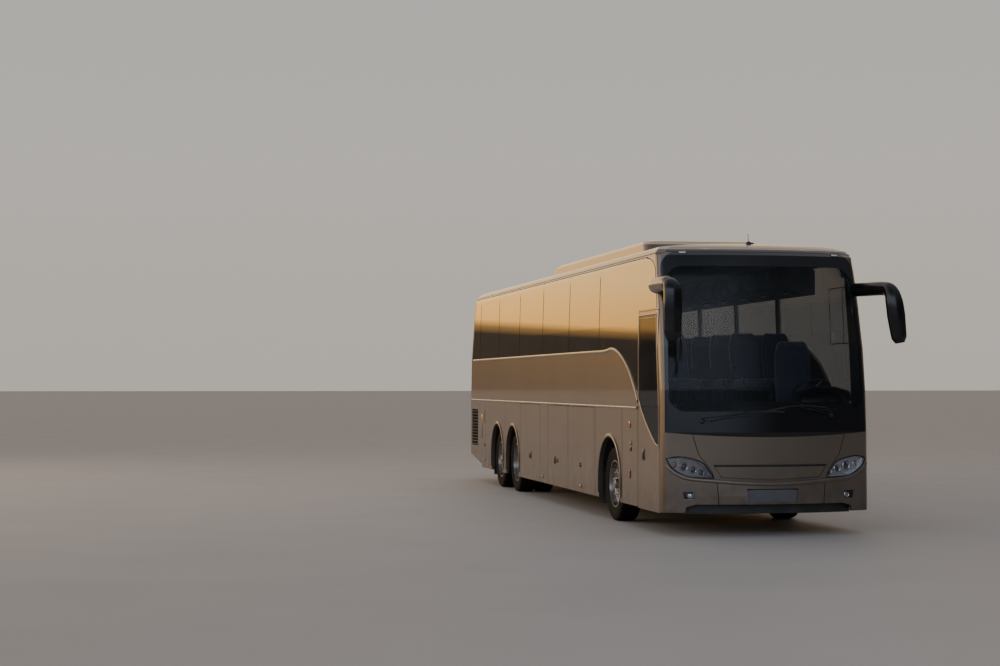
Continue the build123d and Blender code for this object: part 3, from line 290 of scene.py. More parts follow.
def body_paint():
    """Champagne metallic with flake, sheet waviness, road film, and painted shade on the foot of the flanks and
    beside the shut lines.
    """
    tree, shader, where = new_finish("champagne_paint")
    x, y, z = add_node(tree, "SeparateXYZ", {"Vector": where}).outputs
    off_middle = calc(tree, "ABSOLUTE", x)
    cloud = spread(tree, grain(tree, where, 0.8, 3), 0.3, 0.7)
    flake = add_node(tree, "TexVoronoi", {"Vector": where, "Scale": 900.0}).outputs["Color"]
    colour = between(tree, FLAKE_SHARE, between(tree, cloud, PAINT, PAINT_DEEP), flake)
    patches = spread(tree, grain(tree, where, 5.0, 8), 0.25, 0.9)
    film = calc(tree, "MULTIPLY", spread(tree, z, *FILM_Z), patches)
    flank = spread(tree, off_middle, *FLANK_X)
    # painted shade: the foot of each flank grows darker towards the bottom
    low_flank_shade = calc(tree, "MULTIPLY", spread(tree, z, *LOW_SHADE_Z, 0.0, LOW_SHADE_MOST), flank)
    # painted shade, with some dirt, beside the upright shut lines
    gap_shade_and_dirt = beside_gaps(tree, off_middle, y, z)
    # road film is dirt; the foot of the flanks and the shut lines get painted shade
    for share, dirt_and_shade in ((film, ROAD_FILM_AND_SHADE), (low_flank_shade, ROAD_FILM_AND_SHADE), (gap_shade_and_dirt, GAP_SHADE_AND_DIRT)):
        colour = between(tree, share, colour, dirt_and_shade)
    fill(tree, shader, {"Base Color": colour, "Roughness": between(tree, film, 0.34, 0.62),
                        "Metallic": 0.70, "Coat Weight": 0.7, "Coat Roughness": 0.06})
    bumps(tree, shader, grain(tree, where, 1.6, 1), 0.004, 0.35)


body_paint()
print("body paint:", len(finish["champagne_paint"].node_tree.nodes), "nodes")

# %% [markdown]
# Coach glass is dark tinted and bonded flush, so that from outside it is mostly a mirror, and the more so the
# flatter one looks along it. Alpha follows that: clear face on, closed at a glance. Out of the cabin one sees
# more, so the side panes open when they are looked at from within. The windscreen is lighter, and carries a
# printed black border with rounded corners, deep at the top and at the foot.

# %% Side glass and windscreen glass
FROM_CABIN = 0.62
SCREEN_HALF = 1.235
BORDER_SIDE = 0.040
BORDER_TOP_Z = 3.165
BORDER_FOOT_Z = 1.45
BORDER_ROUND = 0.20
BORDER_SOFT = 0.004
BORDER_BLACK = (0.006, 0.006, 0.007)
# the border leans in with the pillars: by how much at these heights
LEAN_Z = (1.4, 3.2)
LEAN_X = (0.005, -0.045)


def tinted_glass(name, tint, clear, mirror):
    """Flat glass: also gives its colour, and an alpha that rises as the view flattens."""
    tree, shader, where = new_finish(name)
    smear = spread(tree, grain(tree, where, 2.4, 6), 0.35, 0.8)
    colour = between(tree, smear, tint, tuple(2.2 * c + 0.004 for c in tint))
    fill(tree, shader, {"Roughness": between(tree, smear, 0.012, 0.05), "Specular IOR Level": mirror, "IOR": 1.6})
    rays = add_node(tree, "Fresnel", {"IOR": 1.52}).outputs["Fac"]
    return tree, shader, where, colour, between(tree, rays, clear, 1.0)


def window_glass(name, tint, clear, mirror, coat):
    """Glass of the sides, which is clearer from the cabin."""
    tree, shader, where, colour, outside = tinted_glass(name, tint, clear, mirror)
    facing = add_node(tree, "NewGeometry", {}).outputs["Normal"]
    outward = add_node(tree, "VectorMath", {0: where, 1: facing}, operation="DOT_PRODUCT").outputs["Value"]
    alpha = spread(tree, calc(tree, "LESS_THAN", outward), 0.0, 1.0, outside, FROM_CABIN)
    fill(tree, shader, {"Base Color": colour, "Alpha": alpha, **coat})


def screen_glass():
    """Light green-grey glass inside a printed black border with rounded corners."""
    tree, shader, where, colour, outside = tinted_glass("windscreen_glass", (0.012, 0.016, 0.018), 0.16, 0.5)
    x, _, z = add_node(tree, "SeparateXYZ", {"Vector": where}).outputs
    wide = SCREEN_HALF - BORDER_SIDE - BORDER_ROUND
    tall = (BORDER_TOP_Z - BORDER_FOOT_Z) / 2 - BORDER_ROUND
    reach = calc(tree, "ADD", spread(tree, z, *LEAN_Z, *LEAN_X), wide)
    over_x = calc(tree, "SUBTRACT", calc(tree, "ABSOLUTE", x), reach)
    rise = calc(tree, "SUBTRACT", z, (BORDER_TOP_Z + BORDER_FOOT_Z) / 2)
    over_z = calc(tree, "SUBTRACT", calc(tree, "ABSOLUTE", rise), tall)
    corner = {"X": calc(tree, "MAXIMUM", over_x), "Y": calc(tree, "MAXIMUM", over_z)}
    corner = add_node(tree, "CombineXYZ", corner).outputs[0]
    away = add_node(tree, "VectorMath", {0: corner}, operation="LENGTH").outputs["Value"]
    printed = spread(tree, away, BORDER_ROUND - BORDER_SOFT, BORDER_ROUND + BORDER_SOFT)
    fill(tree, shader, {"Base Color": between(tree, printed, colour, BORDER_BLACK),
                        "Alpha": calc(tree, "MAXIMUM", outside, printed)})


window_glass("dark_tinted_glass", (0.010, 0.010, 0.011), 0.80, 0.9,
             {"Coat Weight": 1.0, "Coat IOR": 1.9, "Coat Roughness": 0.012})
window_glass("door_glass", (0.010, 0.012, 0.013), 0.72, 0.1, {})
screen_glass()
print("glass:", ", ".join(name for name in finish if "glass" in name))

# %% [markdown]
# The plain finishes share one recipe: a base colour that a noise varies, roughness that follows the same
# patches, and a fine bump at the scale of the real grain. Lamp plastic is clear or coloured with fine ribs, and
# the seats' moquette has a woven rib with small lighter flecks.

# %% Plastics, rubber, metals and cloth
FINISH_TABLE = (
    # name, colour, worn colour, roughness range, grain pitch, grain depth, metal, coat
    ("black_trim", (0.018, 0.018, 0.019), (0.036, 0.034, 0.032), (0.38, 0.6), 0.003, 0.0004, 0.0, 0.0),
    ("gloss_black", (0.006, 0.006, 0.007), (0.011, 0.011, 0.011), (0.12, 0.24), 0.4, 0.0008, 0.0, 0.1),
    ("tyre_rubber", (0.007, 0.007, 0.007), (0.019, 0.016, 0.014), (0.78, 0.97), 0.006, 0.0006, 0.0, 0.0),
    ("seal_rubber", (0.012, 0.012, 0.012), (0.024, 0.023, 0.022), (0.6, 0.85), 0.002, 0.0003, 0.0, 0.0),
    ("wheel_alloy", (0.36, 0.34, 0.32), (0.20, 0.185, 0.165), (0.20, 0.42), 0.012, 0.0003, 1.0, 0.2),
    ("bright_steel", (0.70, 0.70, 0.70), (0.50, 0.49, 0.47), (0.12, 0.28), 0.02, 0.0002, 1.0, 0.0),
    ("lamp_silver", (0.50, 0.50, 0.52), (0.42, 0.42, 0.44), (0.26, 0.36), 0.02, 0.0002, 1.0, 0.0),
    ("satin_alloy", (0.55, 0.54, 0.52), (0.40, 0.39, 0.37), (0.30, 0.46), 0.004, 0.0002, 1.0, 0.0),
    ("chassis_black", (0.022, 0.022, 0.023), (0.075, 0.064, 0.052), (0.55, 0.9), 0.01, 0.0008, 0.1, 0.0),
    ("axle_iron", (0.040, 0.038, 0.036), (0.110, 0.085, 0.065), (0.6, 0.9), 0.006, 0.0012, 0.5, 0.0),
    ("engine_grey", (0.120, 0.130, 0.135), (0.075, 0.070, 0.066), (0.5, 0.8), 0.008, 0.0010, 0.4, 0.0),
    ("cabin_grey", (0.155, 0.155, 0.160), (0.115, 0.115, 0.120), (0.55, 0.8), 0.002, 0.0003, 0.0, 0.0),
    ("cabin_dark", (0.030, 0.031, 0.033), (0.050, 0.050, 0.051), (0.5, 0.75), 0.002, 0.0004, 0.0, 0.0),
    ("aisle_sheet", (0.055, 0.056, 0.060), (0.100, 0.097, 0.092), (0.6, 0.85), 0.004, 0.0006, 0.0, 0.0),
    ("plate_grey", (0.105, 0.105, 0.110), (0.080, 0.080, 0.083), (0.35, 0.5), 0.02, 0.0002, 0.0, 0.2),
    ("bay_sheet", (0.20, 0.20, 0.205), (0.12, 0.118, 0.115), (0.5, 0.75), 0.01, 0.0006, 0.2, 0.0),
)
LENS_TABLE = (
    # name, colour, alpha
    ("clear_lens", (0.30, 0.31, 0.32), 0.10), ("amber_lens", (0.55, 0.13, 0.015), 0.94),
    ("red_lens", (0.42, 0.012, 0.010), 0.95), ("white_lens", (0.78, 0.79, 0.80), 0.85),
)
RUBBER_SHINE = 0.15


def moulded(name, colour, worn, rough, pitch, depth, metal, coat):
    """A finish with colour and roughness that vary, and a grain of this pitch and depth in metres."""
    tree, shader, where = new_finish(name)
    patches = spread(tree, grain(tree, where, 6.0, 8), 0.35, 0.75)
    fill(tree, shader, {"Base Color": between(tree, patches, colour, worn),
                        "Roughness": between(tree, patches, *rough), "Metallic": metal, "Coat Weight": coat})
    if "rubber" in name:
        fill(tree, shader, {"Specular IOR Level": RUBBER_SHINE})
    bumps(tree, shader, grain(tree, where, 1 / pitch, 2), depth, 0.5)


def lens_finish(name, colour, alpha):
    """Moulded lamp plastic with fine upright ribs inside."""
    tree, shader, where = new_finish(name)
    share = ribs(tree, where, 260.0)
    fill(tree, shader, {"Base Color": between(tree, share, colour, tuple(0.7 * c for c in colour)),
                        "Roughness": 0.09, "Alpha": alpha, "Coat Weight": 1.0, "Coat Roughness": 0.03})
    bumps(tree, shader, share, 0.0006, 0.4)


def seat_cloth():
    """Woven moquette: dark blue-grey with a fine rib and small lighter flecks."""
    tree, shader, where = new_finish("seat_moquette")
    rib = ribs(tree, where, 420.0, 1.0)
    fleck = add_node(tree, "TexVoronoi", {"Vector": where, "Scale": 60.0}).outputs["Distance"]
    ground = between(tree, rib, (0.030, 0.036, 0.062), (0.050, 0.056, 0.085))
    flecked = between(tree, spread(tree, fleck, 0.12, 0.05), ground, (0.16, 0.15, 0.13))
    fill(tree, shader, {"Base Color": flecked, "Roughness": 0.9, "Sheen Weight": 0.4})
    bumps(tree, shader, rib, 0.0008, 0.6)


for row in FINISH_TABLE:
    moulded(*row)
for row in LENS_TABLE:
    lens_finish(*row)
seat_cloth()
print("finishes:", ", ".join(finish))

# %% [markdown]
# The construction nodes whose shape is right stay as they are and only take a finish. A table pairs them, so
# that nothing is left in the plain grey that the model comes with. What it doesn't name is painted sheet.

# %% Finishes of the construction nodes
NODE_FINISH = {
    "side_glass": "dark_tinted_glass", "rear_glass": "dark_tinted_glass", "front_door_glass": "door_glass",
    "windscreen": "windscreen_glass", "air_springs": "tyre_rubber", "dashboard": "cabin_dark",
    "door_swing_post": "satin_alloy", "drive_axle": "axle_iron", "tag_axle": "axle_iron",
    "front_axle_beam": "axle_iron", "knuckle_left": "axle_iron", "knuckle_right": "axle_iron",
    "engine_block": "engine_grey", "floor_deck": "aisle_sheet", "front_platform": "aisle_sheet",
    "luggage_bay": "bay_sheet", "underframe": "chassis_black", "wheel_housings": "chassis_black",
    "headlamps": "lamp_silver", "headlamp_lenses": "clear_lens", "tail_lamps": "red_lens",
}
for node_name, node in frame["nodes"].items():
    usual = "tyre_rubber" if "tyre" in node_name else "wheel_alloy" if "rim" in node_name else "champagne_paint"
    for material_slot in node.material_slots:
        material_slot.material = finish[NODE_FINISH.get(node_name, usual)]
print("finishes given to", len(frame["nodes"]), "nodes")

# %% [markdown]
# Fittings have to sit on curved, leaning panels. Rather than work out each panel again, a ray is sent at the
# construction nodes from outside, and where it lands gives the point and the way the panel faces.

# %% Finding places on the skin
def skin_of(*names):
    """A search tree over the surfaces of some construction nodes."""
    shape = bmesh.new()
    for name in names:
        shape.from_mesh(frame["nodes"][name].data)
    return BVHTree.FromBMesh(shape)


PANEL_STARTS = ("side_", "skirt_", "luggage_door", "front_", "rear_", "roof_", "windscreen", "engine_door",
                "headlamp", "tail_")
panels = [n for n in frame["nodes"] if n.startswith(PANEL_STARTS)
          and not any(word in n for word in ("rim", "tyre", "axle", "platform"))]
skin = skin_of(*panels)
print("outer skin of", len(panels), "nodes")


def landed(start, way, tree=skin):
    """Where a ray from outside lands, and the outward direction there."""
    point, normal, *_ = tree.ray_cast(Vector(start), Vector(way))
    if point is None:
        raise ValueError(f"nothing at {tuple(start)}")
    return point, normal if normal.dot(Vector(way)) < 0 else -normal


def on_side(side, s, z):
    """A place on the flank at a station; side is -1 on the right and +1 on the left."""
    return landed((side * 3, station(s), z), (-side, 0, 0))


def on_right(s, z):
    """A place on the right flank."""
    return on_side(-1, s, z)


def on_left(s, z):
    """A place on the left flank."""
    return on_side(1, s, z)


def on_front(x, z):
    """A place on the front."""
    return landed((x, NOSE - 2, z), (0, 1, 0))


def on_rear(x, z):
    """A place on the back."""
    return landed((x, -NOSE + 3, z), (0, -1, 0))


def on_roof(x, s):
    """A place on the roof at a station."""
    return landed((x, station(s), 6), (0, 0, -1))


def at(*place):
    """A move to a place."""
    return Matrix.Translation(place)


def spun(angle, axis):
    """A turn about one axis."""
    return Matrix.Rotation(angle, 4, axis)


def seated(place):
    """A frame that stands on a place: local z points out of the panel and local y is nearest to upright."""
    point, normal = place
    across = Vector((0, 0, 1)).cross(normal).normalized()
    turn = Matrix((across, normal.cross(across), normal)).transposed().to_4x4()
    return at(*point) @ turn


# %% [markdown]
# Three ways of making a shape cover nearly every fitting on a coach. A block with rounded edges, a profile
# turned round an axis, and a section carried along a path. Each is a few bmesh operators, and a stamp puts
# copies of a finished shape where they belong. Scratch shapes free themselves once no name holds them.

# %% Helpers for shapes
def settle(name, shape, slot, *looks, body=BODY, sharp=40):
    """Makes a shape a piece with its finishes, smooth up to a sharp angle in degrees, riding on a body."""
    mesh = bpy.data.meshes.new(name)
    shape.to_mesh(mesh)
    shape.free()
    for look in looks:
        mesh.materials.append(finish[look])
    mesh.shade_smooth()
    mesh.set_sharp_from_angle(angle=radians(sharp))
    piece = linked(name, mesh)
    print(name, "rides on", body, "with", len(mesh.polygons), "faces")
    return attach(piece, body)


def stamp(target, source, place=Matrix(), look=None):
    """Adds a placed copy of one shape to another, in the piece's finish of this number."""
    mesh = bpy.data.meshes.new("stamp")
    source.to_mesh(mesh)
    mesh.transform(place)
    if place.determinant() < 0:
        mesh.flip_normals()
    first = len(target.faces)
    target.from_mesh(mesh)
    bpy.data.meshes.remove(mesh)
    if look is not None:
        target.faces.ensure_lookup_table()
        for face in target.faces[first:]:
            face.material_index = look


def rounded_block(size, rounding, segments=2):
    """A cuboid about the origin with its edges rounded."""
    shape = bmesh.new()
    bmesh.ops.create_cube(shape, size=1, matrix=Matrix.Diagonal((*size, 1)))
    if rounding:
        bmesh.ops.bevel(shape, geom=shape.edges, offset=rounding, segments=segments, profile=0.5,
                        affect="EDGES", material=-1)
    return shape


def turned(profile, steps, closed=False):
    """A solid of revolution about Z from (radius, height) points."""
    shape = bmesh.new()
    points = [shape.verts.new((radius, 0, height)) for radius, height in profile]
    lines = [shape.edges.new(pair) for pair in zip(points, points[1:])]
    if closed:
        lines.append(shape.edges.new((points[-1], points[0])))
    bmesh.ops.spin(shape, geom=points + lines, cent=(0, 0, 0), axis=(0, 0, 1), angle=2 * pi, steps=steps,
                   use_merge=True)
    bmesh.ops.remove_doubles(shape, verts=shape.verts, dist=1e-5)
    bmesh.ops.recalc_face_normals(shape, faces=shape.faces)
    return shape


def button(foot, top, height, crown, steps):
    """A low turned knob: radius at its foot and top, height there and in the middle."""
    return turned(((0.0, 0.0), (foot, 0.0), (top, height), (0.0, crown)), steps)


def swept(path, size, sides=8, up=(0, 0, 1), ring=False):
    """A bar along a path: one loop square to each point, bridged to the next. size is (across, along up)."""
    shape = bmesh.new()
    path = [Vector(p) for p in path]
    sizes = size if isinstance(size, list) else [size] * len(path)
    loops = []
    for k, point in enumerate(path):
        back = path[k - 1] if k or ring else point
        ahead = path[(k + 1) % len(path)] if k + 1 < len(path) or ring else point
        along = (ahead - back).normalized()
        side = along.cross(Vector(up)).normalized()
        top = side.cross(along)
        half = 1 / cos(pi / sides) if sides == 4 else 1
        wide, tall = (half * v / 2 for v in sizes[k])
        turn = Matrix((side * wide, top * tall, along)).transposed().to_4x4()
        made = bmesh.ops.create_circle(shape, cap_ends=False, segments=sides, radius=1,
                                       matrix=at(*point) @ turn @ spun(pi / sides, "Z"))
        loops.append(list({e for v in made["verts"] for e in v.link_edges}))
    for before, loop in zip(loops, loops[1:]):
        bmesh.ops.bridge_loops(shape, edges=before + loop)
    if ring:
        bmesh.ops.bridge_loops(shape, edges=loops[-1] + loops[0])
    else:
        bmesh.ops.holes_fill(shape, edges=loops[0] + loops[-1], sides=0)
    bmesh.ops.recalc_face_normals(shape, faces=shape.faces)
    return shape


def blend(first, last, share):
    """Numbers this share of the way from one row to another."""
    return tuple(a + (b - a) * share for a, b in zip(first, last))


def circle(radius, steps, z=0.0):
    """Points round a circle about Z."""
    return [(radius * cos(2 * pi * k / steps), radius * sin(2 * pi * k / steps), z) for k in range(steps)]


def curve_through(points, per_span):
    """A smooth path through a few points, as a row of points."""
    points = [Vector(p) for p in points]
    ends = [2 * points[0] - points[1], *points, 2 * points[-1] - points[-2]]
    path = []
    for a, b, c, d in zip(ends, ends[1:], ends[2:], ends[3:]):
        for k in range(per_span):
            t = k / per_span
            path.append(0.5 * (2 * b + (c - a) * t + (2 * a - 5 * b + 4 * c - d) * t * t
                               + (3 * b - a - 3 * c + d) * t ** 3))
    return path + [points[-1]]


# %% [markdown]
# A 22.5 inch coach tyre has a nearly flat crown with four grooves round it, shoulder blocks cut by short
# slots, and a wall that swells and then tucks in to the bead. The section is drawn once and turned about the
# axle. Every third shoulder face is then inset and sunk, which is quick and keeps the mesh light.

# %% Tyres
box_low, box_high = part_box("front_tyre_right")
TYRE_R = (box_high.z - box_low.z) / 2
TYRE_HALF = (box_high.x - box_low.x) / 2
BEAD_R = 0.296
GROOVES = (0.022, 0.066)
GROOVE_HALF = 0.006
GROOVE_DEEP = 0.013
SHOULDER_X = 0.100
TREAD_STEPS = 84
WHEELS = [(kind, many, side, name) for kind, many in (("front", ""), ("tag", ""), ("drive", "s"))
          for side, name in SIDES]


def tyre_shape():
    """One tyre about the origin with its axle along X."""
    half = [(0.0, TYRE_R)]
    for g in GROOVES:
        half += [(g - GROOVE_HALF, TYRE_R), (g - GROOVE_HALF * 0.6, TYRE_R - GROOVE_DEEP),
                 (g + GROOVE_HALF * 0.6, TYRE_R - GROOVE_DEEP), (g + GROOVE_HALF, TYRE_R - 0.001)]
    half += [(SHOULDER_X, TYRE_R - 0.003), (0.118, TYRE_R - 0.009), (0.127, TYRE_R - 0.024),
             (0.131, 0.436), (TYRE_HALF - 0.001, 0.412), (TYRE_HALF, 0.392), (0.134, 0.378), (0.1345, 0.372),
             (0.132, 0.352), (0.124, 0.324), (0.125, 0.318), (0.116, 0.304), (0.106, BEAD_R), (0.088, BEAD_R)]
    full = [(-a, r) for a, r in reversed(half[1:])] + half
    shape = turned([(r, a) for a, r in full], TREAD_STEPS)
    notched = []
    for face in shape.faces:
        middle = face.calc_center_median()
        step = round(middle.xy.angle_signed(Vector((1, 0))) / (2 * pi / TREAD_STEPS) - 0.5)
        if abs(middle.z) > SHOULDER_X and middle.xy.length > TYRE_R - 0.02 and step % 3 == 0:
            notched.append(face)
    bmesh.ops.inset_individual(shape, faces=notched, thickness=0.004, depth=-0.008)
    bmesh.ops.rotate(shape, verts=shape.verts, matrix=Matrix.Rotation(pi / 2, 3, "Y"))
    return shape


tyre = tyre_shape()
for kind, many, side, name in WHEELS:
    node = f"{kind}_tyre{many}_{name}"
    low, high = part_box(node)
    centre = (low + high) / 2
    treaded = bmesh.new()
    for x in (low.x + TYRE_HALF, high.x - TYRE_HALF) if many else (centre.x,):
        stamp(treaded, tyre, at(x, centre.y, centre.z))
    piece = settle(f"{kind}_treaded_tyre{many}_{name}", treaded, "tyre", "tyre_rubber",
                   body=f"{kind}_wheel{many}_{name}")
    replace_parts(piece, node)

# %% [markdown]
# The rims are in the construction model. What is missing is what turns with a spanner: ten flanged nuts on
# each wheel and the bolts round the hub cap, and the tyre valve.

# %% Wheel nuts, hub bolts and valves
NUT_CIRCLE = 0.1675
NUT_COUNT = 10
NUT_R = 0.0185
CAP_CIRCLE = 0.052
CAP_BOLTS = 8
SUNK_BOLTS = 0.004


def wheel_fittings(outer):
    """Nuts, cap bolts and valve in the plane of the disc, standing along +Z."""
    shape = bmesh.new()
    nut = bmesh.new()
    bmesh.ops.create_cone(nut, cap_ends=True, segments=6, radius1=NUT_R, radius2=NUT_R, depth=0.026,
                          matrix=at(0, 0, 0.013))
    bmesh.ops.bevel(nut, geom=nut.edges, offset=0.0018, segments=1, profile=0.5, affect="EDGES", material=-1)
    washer = turned(((0.0, 0.0), (0.0235, 0.0), (0.0235, 0.004), (0.019, 0.0075), (0.0, 0.0075)), 16)
    stud = turned(((0.0, 0.0), (0.0105, 0.0), (0.0105, 0.036), (0.0085, 0.039), (0.0, 0.039)), 12)
    for k in range(NUT_COUNT):
        for part in (nut, washer, stud):
            stamp(shape, part, spun(2 * pi * k / NUT_COUNT, "Z") @ at(NUT_CIRCLE, 0, 0))
    bolt = turned(((0.0, 0.0), (0.0062, 0.0), (0.0062, 0.004), (0.005, 0.0055), (0.0, 0.0055)), 6)
    for k in range(CAP_BOLTS):
        stamp(shape, bolt, spun(2 * pi * (k + 0.5) / CAP_BOLTS, "Z") @ at(CAP_CIRCLE, 0, outer))
    stamp(shape, swept([(0.205, 0.0, -0.004), (0.222, 0.0, 0.022), (0.236, 0.0, 0.052)],
                       [(0.009, 0.009), (0.007, 0.007), (0.006, 0.006)]))
    return shape


def disc_face(node, side, radius):
    """The wheel's middle, with the X of its disc's outer face at this radius behind the axle."""
    low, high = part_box(node)
    centre = (low + high) / 2
    point, _ = landed((side * 2, centre.y + radius, centre.z), (-side, 0, 0), skin_of(node))
    return Vector((point.x, centre.y, centre.z))


for kind, many, side, name in WHEELS:
    face = disc_face(f"{kind}_rim{many}_{name}", side, NUT_CIRCLE)
    cap = disc_face(f"{kind}_rim{many}_{name}", side, CAP_CIRCLE)
    # a cap that lies deeper than its disc is out of sight, so its bolts stay close to the disc
    sunk = kind == "drive" and (cap.x - face.x) * side <= 0
    fittings = wheel_fittings(SUNK_BOLTS if sunk else abs(cap.x - face.x) - 0.001)
    nuts = bmesh.new()
    stamp(nuts, fittings, at(*face) @ spun(side * pi / 2, "Y"))
    settle(f"{kind}_wheel_nuts_{name}", nuts, "rim", "bright_steel", body=f"{kind}_wheel{many}_{name}", sharp=30)

# %% [markdown]
# On a twin wheel the two discs lie back to back between the tyres, and from each disc a deep bowl with ten hand
# holes widens to its own barrel. It is a cone in a few rows: the faces at each hole are taken out, the holes'
# corners are rounded, and only then does the sheet get its thickness.

# %% Bowls of the twin rims
BOWL_ROWS = ((0.186, 0.003), (0.200, 0.012), (0.219, 0.040), (0.238, 0.068), (0.262, 0.093), (0.275, 0.102))
BOWL_STEPS = 60
HAND_HOLES = 10
DISCS_BACK = 0.0246


def twin_bowl():
    """One bowl with its hand holes, opening along +Z."""
    shape = turned(BOWL_ROWS, BOWL_STEPS)
    inner, outer = BOWL_ROWS[1][0], BOWL_ROWS[3][0]
    gone = []
    for face in shape.faces:
        middle = face.calc_center_median()
        column = int(atan2(middle.y, middle.x) / (2 * pi / BOWL_STEPS) + BOWL_STEPS) % (BOWL_STEPS // HAND_HOLES)
        if inner < middle.xy.length < outer and column in (2, 3):
            gone.append(face)
    bmesh.ops.delete(shape, geom=gone, context="FACES")
    corners = [v for v in shape.verts if v.is_boundary and len(v.link_faces) == 3]
    bmesh.ops.bevel(shape, geom=corners, offset=0.010, segments=3, profile=0.5, affect="VERTICES", material=-1)
    bmesh.ops.solidify(shape, geom=shape.faces, thickness=0.010)
    bmesh.ops.recalc_face_normals(shape, faces=shape.faces)
    return shape


bowl = twin_bowl()
for side, name in SIDES:
    face = disc_face(f"drive_rims_{name}", side, NUT_CIRCLE)
    bowls = bmesh.new()
    for x, way in ((face.x, side), (face.x - side * DISCS_BACK, -side)):
        stamp(bowls, bowl, at(x, face.y, face.z) @ spun(way * pi / 2, "Y"))
    settle(f"drive_wheel_bowls_{name}", bowls, "rim", "wheel_alloy", body=f"drive_wheels_{name}")

# %% [markdown]
# The lamps. Each headlamp bowl holds three dark round units with bright rings and an amber turn lamp at its
# outer end, all behind one clear lens. The units are turned shapes, set down on the bowl.

# %% Headlamp units
lamp_skin = skin_of("headlamps")
UNIT_TABLE = (
    # x, z, radius, bezel depth, number of the glass's finish
    (1.118, 0.826, 0.037, 0.010, 2), (1.000, 0.803, 0.056, 0.016, 1),
    (0.888, 0.766, 0.050, 0.016, 1), (0.786, 0.733, 0.043, 0.014, 1),
)
UNITS_FACE = (0.25, -1, 0.05)
UNIT_SUNK = 0.006
units = bmesh.new()
for side, _ in SIDES:
    facing = Vector((side * UNITS_FACE[0], *UNITS_FACE[1:])).normalized()
    for x, z, radius, depth, glass in UNIT_TABLE:
        point, _ = landed((side * x, NOSE - 1, z), (0, 1, 0), lamp_skin)
        spot = seated((point + Vector((0, UNIT_SUNK, 0)), facing))
        ring = turned(((radius * 0.72, 0.0), (radius, 0.0), (radius, depth), (radius * 0.86, depth + 0.004),
                       (radius * 0.72, depth)), 28)
        dome = turned(((radius * 0.73, depth * 0.35), (radius * 0.55, depth * 0.75),
                       (radius * 0.28, depth * 0.95), (0.0, depth)), 28)
        stamp(units, ring, spot, 0)
        stamp(units, dome, spot, glass)
settle("headlamp_units", units, "lamp_bowl", "bright_steel", "gloss_black", "amber_lens")

# %% [markdown]
# Small lamps and reflectors along the coach all have one build: a lens with rounded edges on a thin black
# gasket. A table of places is enough, and the ray finder sets each on its panel. White marker lamps stand in the
# black border at the two top corners of the windscreen, and red ones at the back: they mark the full width.

# %% Side markers, reflectors and top marker lamps
LENSES = ("seal_rubber", "amber_lens", "red_lens", "gloss_black", "white_lens")
MARKER_TABLE = (
    # station, height, width, height of the lens, finish, whether it is round
    (1.662, 1.272, 0.085, 0.085, "amber_lens", True), (1.616, 1.038, 0.075, 0.030, "amber_lens", False),
    (1.616, 0.964, 0.050, 0.050, "gloss_black", True), (1.666, 0.653, 0.050, 0.095, "red_lens", False),
    (4.30, 0.360, 0.11, 0.030, "amber_lens", False), (6.80, 0.370, 0.11, 0.030, "amber_lens", False),
    (11.69, 0.420, 0.11, 0.030, "amber_lens", False), (11.67, 0.680, 0.050, 0.050, "gloss_black", True),
    (12.62, 0.545, 0.11, 0.030, "amber_lens", False),
)
TOP_CORNERS = ((-0.923, 3.327), (0.978, 3.314))
TOP_REAR_Z = 3.28
TOP_SIZE = (0.085, 0.034)


def add_lamp(target, place, width, height, look, is_round=False):
    """Stamps a lens on its gasket, standing out of the panel at a place."""
    if is_round:
        gasket = button(width * 0.58, width * 0.56, 0.004, 0.005, 24)
        lens = turned(((width * 0.5, 0.0), (width * 0.5, 0.006), (width * 0.42, 0.011), (width * 0.2, 0.014),
                       (0.0, 0.0145)), 24)
    else:
        gasket = rounded_block((width + 0.012, height + 0.012, 0.008), 0.002, 1)
        lens = rounded_block((width, height, 0.022), 0.007, 3)
    stamp(target, gasket, seated(place), 0)
    stamp(target, lens, seated(place), LENSES.index(look))


markers = bmesh.new()
for side, _ in SIDES:
    for s, z, width, height, look, is_round in MARKER_TABLE:
        add_lamp(markers, on_side(side, s, z), width, height, look, is_round)
settle("side_markers", markers, "lamp_red", *LENSES)
tops = bmesh.new()
for x, front_z in TOP_CORNERS:
    add_lamp(tops, on_front(x, front_z), *TOP_SIZE, "white_lens")
    add_lamp(tops, on_rear(x, TOP_REAR_Z), *TOP_SIZE, "red_lens")
settle("top_markers", tops, "lamp_glass", *LENSES)

# %% [markdown]
# The mirrors hang ahead of the screen. On the coach's right a body-coloured elbow leaves the top of the
# pillar and carries a long black head, with a slimmer kerb mirror below. On the left a black arm curves out and
# down like a horn. A head is a section carried down a path, wide and rounded, with its glass set in the back.

# %% Mirrors
# paths as (x, station, z), and sizes along them as (share of the path, width, depth)
ELBOW = ((-1.190, 0.560, 2.912), (-1.270, 0.460, 2.918), (-1.328, 0.330, 2.925), (-1.333, 0.100, 2.926),
         (-1.328, -0.130, 2.924), (-1.314, -0.215, 2.918))
ELBOW_SIZES = ((0, 0.150, 0.165), (0.86, 0.150, 0.168), (0.95, 0.135, 0.150), (1, 0.090, 0.105))
RIGHT_HEAD = ((-1.312, -0.080, 2.920), (-1.300, -0.215, 2.912), (-1.297, -0.290, 2.850), (-1.297, -0.305, 2.700),
              (-1.297, -0.305, 2.520), (-1.297, -0.305, 2.350), (-1.297, -0.310, 2.262))
RIGHT_SIZES = ((0, 0.120, 0.130), (0.17, 0.150, 0.175), (0.35, 0.148, 0.210), (0.5, 0.150, 0.216),
               (0.85, 0.132, 0.205), (1, 0.070, 0.140))
KERB_TAIL = ((-1.240, -0.310, 2.360), (-1.226, -0.320, 2.240), (-1.221, -0.320, 2.110), (-1.224, -0.318, 2.034))
KERB_SIZES = ((0, 0.050, 0.050), (0.3, 0.060, 0.058), (0.8, 0.058, 0.056), (1, 0.034, 0.030))
